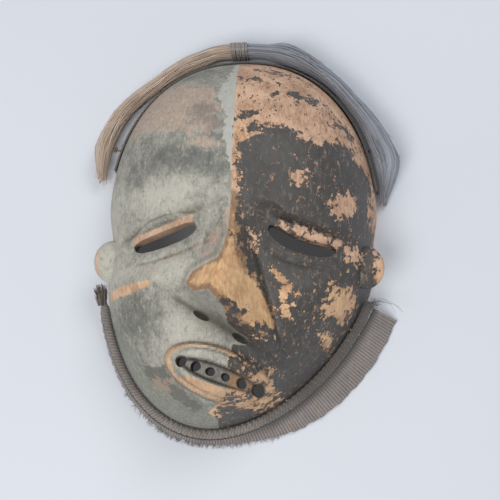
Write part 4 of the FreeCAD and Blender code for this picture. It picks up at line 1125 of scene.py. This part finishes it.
def ribbed_cloth(name, rib_mm, dark, light, gold):
    """Cloth whose ribs run across it. Its UV map is in millimetres: U along the cloth and V across it."""
    made, tree, shader, place = new_material(name, 0.85, sheen=0.3)
    flat = add(tree, "ShaderNodeUVMap", uv_map="cloth").outputs[0]
    along, across = (add(tree, "ShaderNodeSeparateXYZ", {0: flat}).outputs[k] for k in ("X", "Y"))
    rib = maths(tree, "COSINE", times(tree, along, 2 * math.pi / rib_mm))
    stitch = maths(tree, "SINE", times(tree, across, 2 * math.pi / 0.9))
    fine = noise(tree, place, 1.3, 3.0, 0.7)
    patches = noise(tree, place, 22.0, 4.0, 0.6, seed=0.4)
    share = plus(tree, times(tree, rib, 0.15), times(tree, fine, 0.5))
    share = plus(tree, share, times(tree, patches, 0.4))
    body = mixed(tree, spread(tree, share, 0.1, 0.8), dark, light)
    # Gold on the rib crests in patches: the cloth's golden thread, with a painted highlight where light would
    # catch the crests.
    crest_glint = times(tree, spread(tree, rib, 0.3, 1.0), spread(tree, stitch, 0.0, 0.8))
    rubbed = spread(tree, noise(tree, place, 9.0, 4.0, 0.6, seed=0.8), 0.4, 0.55)
    colour = mixed(tree, times(tree, times(tree, crest_glint, rubbed), 0.9), body, gold)
    dust = use_group(tree, SETTLED_DUST, Place=place, Amount=0.22)["Mask"]
    colour = mixed(tree, dust, colour, shade(158, 152, 148))
    # Darker where the mesh says: on the roll towards its ends, and painted shade on the cloth beside the welt.
    dirt_and_shade = times(tree, attribute(tree, "dirt_and_shade"), 0.8)
    tree.links.new(mixed(tree, dirt_and_shade, colour, shade(66, 62, 60)), shader.inputs["Base Color"])
    height = plus(tree, times(tree, stitch, 0.3), fine)
    bumped(tree, shader, height, 0.2, 0.8)
    return made


COLLAR_CLOTH = ribbed_cloth("collar_cloth", 2.0, shade(96, 90, 88), shade(150, 142, 139), shade(182, 156, 132))
BAND_WEAVE = ribbed_cloth("band_weave", 2.4, shade(74, 70, 66), shade(104, 98, 92), shade(112, 104, 96))
COLLAR_WELT = ribbed_cloth("collar_welt", 2.2, shade(104, 98, 95), shade(160, 152, 147), shade(184, 162, 140))
print("fibre and cloth finishes made")

# %% [markdown]
# ## The coif
#
# A sheaf of fibre in two halves, bound together at the crown, frames the forehead. Each half is a core with
# several hundred strands combed along it in locks, so that its outline stays soft and light catches single
# strands. The halves follow the same places and thicknesses as the frame's two nodes.

# %% Sheaf halves
CROWN_ANGLE = 91.0
SHEAF_HEIGHT = 26.0
SHEAF_LEAN = math.radians(9.0)
SHEAF_LIFT = 1.5
BOUND_THICKNESS = 10.0
BOUND_HEIGHT = 22.0
BESIDE_BAND = 3.4
NATURAL_HALF = {"end": 160.0, "shoulder": 10.5, "middle": 9.0, "tail": 12.0, "end_share": 0.55, "flare": 5.5}
DYED_HALF = {"end": 12.0, "shoulder": 16.0, "middle": 10.5, "tail": 18.0, "end_share": 0.35, "flare": 0.0}
CORE_RINGS = 40
CORE_AROUND = 28


def sheaf_axes(angle):
    """Directions across and up the sheaf, which leans in over the forehead."""
    normal = outwards(angle)
    up = np.array((0, 0, 1.0)) * math.cos(SHEAF_LEAN) - normal * math.sin(SHEAF_LEAN)
    side = normal * math.cos(SHEAF_LEAN) + np.array((0, 0, 1.0)) * math.sin(SHEAF_LEAN)
    return side, up


def sheaf_section(half, share):
    """Middle, width, height and axes of the sheaf at a share of the way from the crown to its end."""
    share = np.asarray(share, float)
    angle = CROWN_ANGLE + (half["end"] - CROWN_ANGLE) * share
    neck = 1 - ease(0.12, 0.25, share)
    tail = 1 - (1 - half["end_share"]) * ease(0.86, 1.0, share)
    thick = half["shoulder"] + (half["middle"] - half["shoulder"]) * ease(0.15, 0.5, share)
    thick = thick + (half["tail"] - half["middle"]) * ease(0.55, 0.88, share)
    wide = (thick + (BOUND_THICKNESS - thick) * neck) * tail
    high = (SHEAF_HEIGHT + (BOUND_HEIGHT - SHEAF_HEIGHT) * neck) * tail
    away = BESIDE_BAND + half["flare"] * ease(0.45, 0.75, share) + 2.0 * neck
    middle = wall_point(angle, away + wide / 2, 0.0)
    middle[..., 2] = SHEAF_LIFT + high / 2 + (SHEAF_HEIGHT - BOUND_HEIGHT) / 2 * neck
    side, up = sheaf_axes(angle)
    return middle, wide, high, side, up


def sheaf_core(name, half, finish):
    """The dense middle of a half, a little slimmer than the whole."""
    share = np.linspace(0.0, 1.0, CORE_RINGS)
    middle, wide, high, side, up = sheaf_section(half, share)
    turn = np.linspace(0, 2 * math.pi, CORE_AROUND, endpoint=False)
    slim = 0.88 * (1 - 0.5 * ease(0.93, 1.0, share)) / 2
    ring = rounded(side[:, None], up[:, None], turn, (wide * slim)[:, None], (high * slim)[:, None])
    points = (middle[:, None] + ring).reshape(-1, 3)
    made = faced_out(made_mesh(name, points, tube_faces(CORE_RINGS, CORE_AROUND), finish))
    set_attribute(made.data, "strand", np.full(len(made.data.vertices), 0.45))
    set_attribute(made.data, "tip", np.zeros(len(made.data.vertices)))
    return made


def combed_half(name, half, finish, seed, count=430, locks=34, steps=30):
    """Strands combed in locks from the crown to past the end of a half."""
    draw = np.random.default_rng(seed)
    lock_turn = draw.uniform(0, 2 * math.pi, locks)
    lock_shade = draw.uniform(0.1, 0.9, locks)
    lock_drift = draw.normal(0, 0.35, locks)
    lock = draw.integers(0, locks, count)
    turn = lock_turn[lock] + draw.normal(0, 0.11, count)
    out = np.clip(draw.normal(0.93, 0.06, count), 0.75, 1.04)
    last = draw.uniform(0.93, 1.0, count) + 0.015 * (draw.random(count) > 0.8)
    share = np.linspace(0, 1, steps)[None, :] * last[:, None]
    middle, wide, high, side, up = sheaf_section(half, share)
    drift = turn[:, None] + lock_drift[lock][:, None] * np.sin(share * 5 + lock_turn[lock][:, None])
    swell = out[:, None] * (1 + 0.03 * np.sin(share * 21 + 4 * lock_shade[lock][:, None]))
    lines = middle + rounded(side, up, drift, swell * wide / 2, swell * high / 2)
    lines -= side * (2.5 * ease(0.93, 1.03, share) ** 2)[..., None]
    lines[..., 2] = np.maximum(lines[..., 2], 0.5)
    tone = np.clip(lock_shade[lock] + draw.normal(0, 0.16, count), 0, 1)[:, None]
    tips = ease(0.86, 1.0, share)
    thick = draw.uniform(0.7, 1.3, count)[:, None] * (1 - 0.5 * ease(0.9, 1.03, share))
    loose = 0.25 + 0.75 * ease(0.1, 0.3, share) + 0.4 * ease(0.9, 1.0, share)
    return strands(name + "_strands", lines, finish, 0.42, 0.7, 11.0, seed, 3, thick, tone, tips, loose)


def flyaways(name, half, finish, seed, count=46, steps=9):
    """Single fibres that stand off the sheaf."""
    draw = np.random.default_rng(seed)
    start = draw.uniform(0.12, 0.95, count)
    run = draw.uniform(0.04, 0.12, count)
    share = np.minimum(start[:, None] + run[:, None] * np.linspace(0, 1, steps), 1.02)
    middle, wide, high, side, up = sheaf_section(half, share)
    turn = draw.uniform(-0.5, 2.6, count)[:, None]
    lift = 1 + draw.uniform(0.05, 0.3, count)[:, None] * np.linspace(0, 1, steps) ** 1.6
    lines = middle + rounded(side, up, turn, lift * wide / 2, lift * high / 2)
    lines[..., 2] = np.maximum(lines[..., 2], 0.6)
    tone = draw.uniform(0.3, 0.9, count)[:, None]
    return strands(name + "_flyaways", lines, finish, 0.14, 1.0, 9.0, seed, 3, None, tone)


def sheaf(name, half, finish, seed):
    """One half of the coif: its core, its combed strands and the fibres that stand off it."""
    core = sheaf_core(name + "_core", half, finish)
    combed = combed_half(name, half, finish, seed)
    made = joined(name + "_sheaf", [core, combed, flyaways(name, half, finish, seed + 1)])
    print(made.name, len(made.data.polygons), "faces")
    return made


natural_sheaf = sheaf("coif_natural", NATURAL_HALF, NATURAL_FIBRE, 11)
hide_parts("coif_natural")
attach(natural_sheaf, "root")
dyed_sheaf = sheaf("coif_dyed", DYED_HALF, DYED_FIBRE, 23)
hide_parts("coif_dyed")
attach(dyed_sheaf, "root")

# %% [markdown]
# ## Band and binding
#
# A narrow woven band lies between the wood and the sheaf; only its edge shows. At the crown a cord is
# wound round both halves. The band is a strip of basket weave, pushed in and out where threads cross. The
# binding is a cord that follows a flattened helix, with the twist of its three plies.

# %% Woven band
BAND_ANGLES = (15.0, 157.0)
BAND_FOOT_Z = 2.0
BAND_HEAD_Z = 21.0
BAND_WIDTH = 19.0
BAND_THICKNESS = 1.3
BASKET_PITCH = 4.8


def cloth_strip(name, middle, normal, rise, width, thickness, lift, finish, across_steps=20, darkening=0.0):
    """A strip with two faces and closed edges, its length and its flat area.

    lift(u, v) pushes its face out, u and v in millimetres. The last argument says how much darker its first
    edge is painted."""
    count = len(middle)
    along = distance_along(middle)
    width = np.broadcast_to(width, count)
    v = np.linspace(0, 1, across_steps)
    u = along[:, None] + 0 * v
    down = width[:, None] * v
    face = middle[:, None] + rise[:, None] * down[..., None]
    out = normal[:, None] * (thickness / 2 + lift(u, down))[..., None]
    ring = np.concatenate([face + out, (face - out)[:, ::-1]], 1)
    made = faced_out(made_mesh(name, ring.reshape(-1, 3), tube_faces(count, 2 * across_steps), finish))
    flat = np.stack([u, down], -1)
    set_flat_map(made, np.concatenate([flat, flat[:, ::-1]], 1))
    dirt_and_shade = np.broadcast_to(darkening, count)[:, None] * ease(7.0, 0.0, down)
    set_attribute(made.data, "dirt_and_shade", np.concatenate([dirt_and_shade, dirt_and_shade[:, ::-1]], 1))
    area = float(((width[1:] + width[:-1]) / 2 * np.diff(along)).sum())
    return made, along[-1], area


def basket(u, v):
    """Over and under of a basket weave."""
    return 0.28 * np.sin(u * 2 * math.pi / BASKET_PITCH) * np.sin(v * 2 * math.pi / BASKET_PITCH)


angles = np.linspace(*BAND_ANGLES, 440)
foot = wall_point(angles, 2.0, BAND_FOOT_Z)
slope = unit(wall_point(angles, 2.0, BAND_HEAD_Z) - foot)
band, band_length = cloth_strip(
    "woven_band", foot, outwards(angles), slope, BAND_WIDTH, BAND_THICKNESS, basket, BAND_WEAVE)[:2]
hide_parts("coif_band")
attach(band, "root")
print("band:", round(band_length), "mm long")

# %% Crown binding
def plied(line, radius, ply_radius, twist_mm, count):
    """Lines of the plies that twist round a line."""
    ahead = unit(np.gradient(line, axis=0))
    side = unit(np.cross(ahead, (0.0, 0.0, 1.0)) + 1e-6)
    up = np.cross(side, ahead)
    reach = radius - ply_radius
    turns = [2 * math.pi * (distance_along(line) / twist_mm + k / count) for k in range(count)]
    return np.array([line + rounded(side, up, turn, reach, reach) for turn in turns])


def binding_line(turns=9.0, length=12.6):
    """Helix round the sheaf's section at the crown."""
    angle = CROWN_ANGLE
    middle = wall_point(angle, BESIDE_BAND + 2.0 + BOUND_THICKNESS / 2, 0.0)
    middle[2] = SHEAF_LIFT + SHEAF_HEIGHT / 2
    side, up = sheaf_axes(angle)
    along = np.cross(side, up)
    turn = np.linspace(0, 2 * math.pi * turns, int(56 * turns))
    step = (turn / (2 * math.pi * turns) - 0.5) * length
    step = step + 0.25 * np.sin(turn * 0.37)
    return middle + rounded(side, up, turn, 5.9, 11.9) + along * step[:, None]


plies = plied(binding_line(), 0.78, 0.42, 3.2, 3)
tones = np.array((0.35, 0.55, 0.8))[:, None]
binding = strands("crown_cord", plies, BINDING_CORD, 0.46, 0.1, 5.0, 3.0, 5, None, tones)
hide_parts("crown_binding")
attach(binding, "root")
print("binding:", len(binding.data.polygons), "faces")

# %% [markdown]
# ## The collar
#
# A strip of ribbed cloth is sewn to a roll and the roll is tied round the jaw. On the dark side the strip
# widens to a flap that lies on the ground. The ribs are real ridges, because light rakes across them, and
# finer thread is left to the material. The roll is spiralled over with golden thread.

# %% Collar cloth
CLOTH_ANGLES = (202.0, 339.0)
FLAP_ANGLES = (268.0, 316.0)
BESIDE_WELT = 7.7
RIB_PITCH = 2.0


def collar_width(angle):
    """How far the cloth reaches beyond the welt, with the slight corners of a hand-cut edge."""
    flap = ease(*FLAP_ANGLES, angle)
    corners = 0.9 * np.abs(np.sin((angle - FLAP_ANGLES[0]) * 0.11)) + 0.35 * np.sin(angle * 0.9)
    return 2.6 + 16.2 * flap - corners * flap + 0.25 * np.sin(angle * 2.1)


def ribs(u, v):
    """Ridges across the cloth, softer towards its edges."""
    return 0.2 * np.cos(u * 2 * math.pi / RIB_PITCH) + 0.12 * np.sin(u * 0.37) * np.sin(v * 0.5)


angles = np.linspace(*CLOTH_ANGLES, 1500)
inner_edge = wall_point(angles, BESIDE_WELT, welt_z(angles))
inner_edge[:, 2] = np.maximum(1.7, welt_z(angles) * 0.75)
outer_edge = wall_point(angles, BESIDE_WELT + collar_width(angles), welt_z(angles))
ripple = ease(*FLAP_ANGLES, angles)
outer_edge[:, 2] = 1.7 + 0.5 * ripple * (1 + np.sin(angles * 0.35)) + 0.15 * np.sin(angles * 1.3)
cloth_width = np.linalg.norm(outer_edge - inner_edge, axis=1)
run = unit(outer_edge - inner_edge)
face_up = unit(np.cross(run, np.gradient(inner_edge, axis=0)))
face_up *= np.sign(face_up[:, 2:3])
# Painted shade on the flap along the welt, where the cloth dips into a shadowed valley.
darkening = ease(270.0, 300.0, angles)
cloth, cloth_length, cloth_area = cloth_strip(
    "ribbed_cloth", inner_edge, face_up, run, cloth_width, 1.0, ribs, COLLAR_CLOTH, 22, darkening)
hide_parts("collar_cloth")
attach(cloth, "root")
print("cloth:", round(cloth_length), "mm long,", round(cloth_area), "mm2")

# %% Rolled welt
WELT_ANGLES = (200.0, 340.0)
WELT_RADIUS = 3.15
WELT_AWAY = 3.8
WELT_RINGS = 520
WELT_AROUND = 24
WINDING_PITCH = 4.2


def welt_path(first, last, count):
    """Points, angles, directions across and up, and distance along the roll's middle line."""
    at = np.linspace(first, last, count)
    line = wall_point(at, WELT_AWAY, welt_z(at))
    side = outwards(at)
    up = np.cross(unit(np.gradient(line, axis=0)), side)
    return line, at, side, up, distance_along(line)


def rolled_welt():
    """Roll with soft lumps where it is tied and wound."""
    line, at, side, up, along = welt_path(*WELT_ANGLES, WELT_RINGS)
    turn = np.linspace(0, 2 * math.pi, WELT_AROUND, endpoint=False)
    spiral = np.cos(2 * (turn - along[:, None] * math.pi / WINDING_PITCH))
    wound = (0.08 + 0.18 * ease(228.0, 250.0, at))[:, None] * spiral
    tied = -0.35 * sum(bell(at, angle, 0.9) for angle in COLLAR_TIE_ANGLES)
    ends = 1 - 0.35 * ease(1.5, 0.0, at - WELT_ANGLES[0]) - 0.35 * ease(1.5, 0.0, WELT_ANGLES[1] - at)
    radius = (WELT_RADIUS + wound + tied[:, None]) * ends[:, None]
    points = line[:, None] + rounded(side[:, None], up[:, None], turn, radius, radius)
    faces = tube_faces(WELT_RINGS, WELT_AROUND)
    made = faced_out(made_mesh("welt_roll", points.reshape(-1, 3), faces, COLLAR_WELT))
    set_flat_map(made, np.stack([along[:, None] + turn * 1.3, 3.2 * turn + 0 * along[:, None]], -1))
    # The roll is darker at its pale end and from under the flap to its dark end.
    darkening = 0.25 * ease(250.0, 225.0, at) + 0.95 * ease(272.0, 312.0, at)
    set_attribute(made.data, "dirt_and_shade", np.repeat(darkening, WELT_AROUND))
    return made


def welt_winding():
    """Golden thread that spirals along the roll."""
    line, at, side, up, along = welt_path(WELT_ANGLES[0] + 1, WELT_ANGLES[1] - 1, 2600)
    spiral = line + rounded(side, up, 2 * math.pi * along / WINDING_PITCH, 3.3, 3.3)
    shown = ease(228.0, 250.0, at) * ease(318.0, 285.0, at)
    thick = (0.62 + 0.3 * np.sin(along * 0.13)) * (0.5 + 0.5 * shown)
    tone = (0.5 + 0.5 * np.sin(along * 0.21)) * (0.35 + 0.65 * shown)
    return strands(
        "welt_winding", spiral[None], GOLDEN_THREAD, 0.38, 0.25, 6.0, 5.0, 5, thick[None], tone[None])


welt = joined("rolled_welt", [rolled_welt(), welt_winding()])
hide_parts("collar_welt")
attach(welt, "root")
print("welt:", len(welt.data.polygons), "faces")

# %% [markdown]
# ## Ties, tuft and loose threads
#
# Every tie is a short thread through the wall that ends in a knot inside the mask. A knot could be a ball,
# but from behind it should read as tied thread, so it is a real trefoil. The collar's pale end is frayed
# into a tuft, its lower edge has a fringe under the chin, and a few long threads have come loose at the
# dark end.

# %% Ties
KNOT_RADIUS = 2.6


def tie_lines(angle, z, outside, knot_outside):
    """Thread through the wall with a trefoil at its inner end, and at its outer end if asked."""
    way = outwards(float(angle))
    wall = wall_point(float(angle), 0.0, z)
    deep = -RIM_WALL - KNOT_RADIUS - 1.5
    side = np.cross(way, (0, 0, 1.0))
    ends = [deep] + ([outside] if knot_outside else [])
    turn = np.linspace(0, 2 * math.pi, 60)
    lines = []
    for end in ends:
        reach = 0.62 * (np.cos(3 * turn) + 2)
        knot = rounded(side, np.array(UP), 2 * turn, reach, reach) - way * (0.75 * np.sin(3 * turn))[:, None]
        lines.append(wall + way * end + knot)
    lines.append(wall + way * np.linspace(deep + 0.5, outside, 60)[:, None])
    return lines


def ties(name, node_name, angles, knot_outside):
    lines = []
    for angle in angles:
        if knot_outside:
            half = NATURAL_HALF if angle > CROWN_ANGLE else DYED_HALF
            share = abs(angle - CROWN_ANGLE) / abs(half["end"] - CROWN_ANGLE)
            outside = BESIDE_BAND + float(sheaf_section(half, share)[1]) / 3
            lines += tie_lines(angle, COIF_TIE_Z, outside, True)
        else:
            lines += tie_lines(angle, float(welt_z(angle)), 7.4, False)
    tone = np.linspace(0.3, 0.8, len(lines))[:, None]
    made = strands(name, np.array(lines), TIE_THREAD, 0.72, 0.1, 4.0, 2.0, 6, None, tone)
    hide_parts(node_name)
    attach(made, "root")
    return made


coif_threads = ties("coif_threads", "coif_ties", COIF_TIE_ANGLES, True)
collar_threads = ties("collar_threads", "collar_ties", COLLAR_TIE_ANGLES, False)
print("ties:", len(coif_threads.data.polygons), len(collar_threads.data.polygons))

# %% Tuft, fringe and loose threads
def tuft():
    """Frayed end of the collar on the pale side."""
    draw = np.random.default_rng(5)
    count, steps = 210, 9
    first = WELT_ANGLES[0]
    side = outwards(first)
    base = wall_point(first, WELT_AWAY, welt_z(first)) + side * 1.5
    before, after = (wall_point(at, WELT_AWAY, welt_z(at)) for at in (first - 0.5, first + 0.5))
    along = unit(before - after)
    up = np.cross(along, side)
    turn = draw.uniform(0, 2 * math.pi, count)
    out = np.sqrt(draw.random(count))
    length = draw.uniform(8.0, 15.5, count)
    flare = draw.uniform(0.75, 1.25, count)
    t = np.linspace(0, 1, steps)
    reach = (out * 3.2)[:, None] * (1 + 0.55 * flare[:, None] * t**1.5)
    spread_out = rounded(side, up, turn[:, None], reach, reach)
    lines = base + spread_out + along * (length[:, None] * t - 1.0)[..., None]
    tone = draw.random(count)[:, None]
    return strands("frayed_tuft", lines, FRAYED_THREAD, 0.24, 1.3, 5.0, 7.0, 3, 1 - 0.5 * t, tone, t, 0.2 + t)


def fringe():
    """Short threads along the cloth's lower edge, thickest under the chin and on the pale side."""
    draw = np.random.default_rng(9)
    count, steps = 420, 6
    pale = draw.random(count) < 0.25
    at = np.where(pale, draw.uniform(203, 235, count), np.clip(draw.normal(262, 14, count), 232, 330))
    start = wall_point(at, 7.4 + collar_width(at) * 0.9, welt_z(at))
    start[:, 2] = draw.uniform(1.0, 2.4, count)
    way = outwards(at)
    sideways = np.cross(way, (0, 0, 1.0)) * draw.normal(0, 0.5, count)[:, None]
    t = np.linspace(0, 1, steps)
    length = draw.uniform(1.5, 4.4, count) * np.where(pale, 0.4, 1.0)
    lines = start[:, None] + (way + sideways)[:, None] * (length[:, None] * t)[..., None]
    lines[..., 2] = np.maximum(lines[..., 2] - 0.5 * t, 0.4)
    tone = draw.random(count)[:, None]
    return strands("fringe", lines, FRAYED_THREAD, 0.17, 1.2, 3.0, 4.0, 3, 1 - 0.5 * t, tone, 0.6 * t)


def loose_threads():
    """Fuzz at the collar's dark end, with four long threads that curve away from it."""
    draw = np.random.default_rng(14)
    base = wall_point(338.5, 4.5, welt_z(338.5))
    t = np.linspace(0, 1, 14)
    lines = []
    for length, lift, bend in ((23, 4, 9), (21, 2, 5), (18, 6, 11), (15, 1, 1)):
        x = base[0] + 1.0 + length * t
        y = base[1] + 3.0 + lift * np.sin(t * 2.4) - bend * t**2.2
        z = base[2] - 2.0 + 3.0 * np.sin(t * 2.6) - 4.0 * t
        lines.append(np.stack([x, y, z], -1))
    for _ in range(60):
        turn = draw.uniform(-1.2, 1.9)
        length = draw.uniform(2.5, 6.5)
        start = base + draw.normal(0, 1.4, 3) + np.array((1.5, 1.0, 1.0))
        way = np.array((math.cos(turn), math.sin(turn), draw.uniform(-0.3, 0.5)))
        lines.append(start + way * (length * t)[:, None])
    tone = draw.random(len(lines))[:, None]
    return strands("loose", np.array(lines), FRAYED_THREAD, 0.15, 0.9, 6.0, 6.0, 3, 1 - 0.4 * t, tone)


frayed = tuft()
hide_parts("collar_tuft")
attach(frayed, "root")
edge_threads = joined("edge_threads", [fringe(), loose_threads()])
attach(edge_threads, "root")
print("tuft and edge threads:", len(frayed.data.polygons), len(edge_threads.data.polygons))

# %% [markdown]
# ## Floor, light and camera
#
# The mask lies on its back on pale paper under soft daylight. A big lamp overhead and a bright sky give
# light without hard shadows. The camera looks down from a little below the chin.

# %% Stage
def paper():
    made, tree, shader, place = new_material("paper", 0.9)
    tone = noise(tree, place, 400.0, 2.0, 0.5)
    tree.links.new(mixed(tree, tone, shade(206, 210, 218), shade(216, 219, 226)), shader.inputs["Base Color"])
    # The paper glows faintly: painted light standing in for daylight that leaks under the mask's rim and shows
    # through the eye slits.
    shader.inputs["Emission Color"].default_value = shade(220, 222, 226)
    shader.inputs["Emission Strength"].default_value = 0.06
    return made


FLOOR_HALF = 3000
floor_corners = [(FLOOR_HALF * x, FLOOR_HALF * y, 0) for x, y in ((-1, -1), (1, -1), (1, 1), (-1, 1))]
floor = made_mesh("floor", floor_corners, [(0, 1, 2, 3)], paper())
floor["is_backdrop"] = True


def lamp(name, place, target, size, power, colour):
    data = bpy.data.lights.new(name, "AREA")
    data.shape = "DISK"
    data.size = size
    data.energy = power
    data.color = colour
    made = bpy.data.objects.new(name, data)
    made.location = place
    made.rotation_mode = "QUATERNION"
    made.rotation_quaternion = (Vector(target) - Vector(place)).to_track_quat("-Z", "Y")
    bpy.context.scene.collection.objects.link(made)


low_corner, high_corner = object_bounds()
middle = (low_corner + high_corner) / 2
lamp("window", middle + Vector((-0.45, -0.60, 1.15)), middle, 0.8, 10.5, (1.0, 0.99, 0.97))
lamp("room", middle + Vector((0.55, 0.75, 1.2)), middle, 0.7, 7.0, (0.95, 0.98, 1.0))
world = bpy.data.worlds.new("sky")
bpy.context.scene.world = world
world.use_nodes = True
sky = world.node_tree.nodes["Background"].inputs
sky["Color"].default_value = (0.93, 0.96, 1.0, 1.0)
sky["Strength"].default_value = 0.42
bpy.context.scene.view_settings.view_transform = "Standard"

# %% Camera
CAMERA_TARGET = Vector((8.5, -14.2, 50.0)) * MM
CAMERA_WAY = Vector((0.08, -0.20, 1.0)).normalized()
CAMERA_DISTANCE = 0.7
camera_data = bpy.data.cameras.new("camera")
camera_data.sensor_width = 36.0
camera_data.lens = 73.66
camera = bpy.data.objects.new("camera", camera_data)
bpy.context.scene.collection.objects.link(camera)
right = Vector((0, 1, 0)).cross(CAMERA_WAY).normalized()
up = CAMERA_WAY.cross(right)
place = CAMERA_TARGET + CAMERA_WAY * CAMERA_DISTANCE
camera.matrix_world = Matrix((right, up, CAMERA_WAY)).transposed().to_4x4()
camera.location = place
bpy.context.scene.camera = camera
print("camera at", [round(v, 3) for v in place])
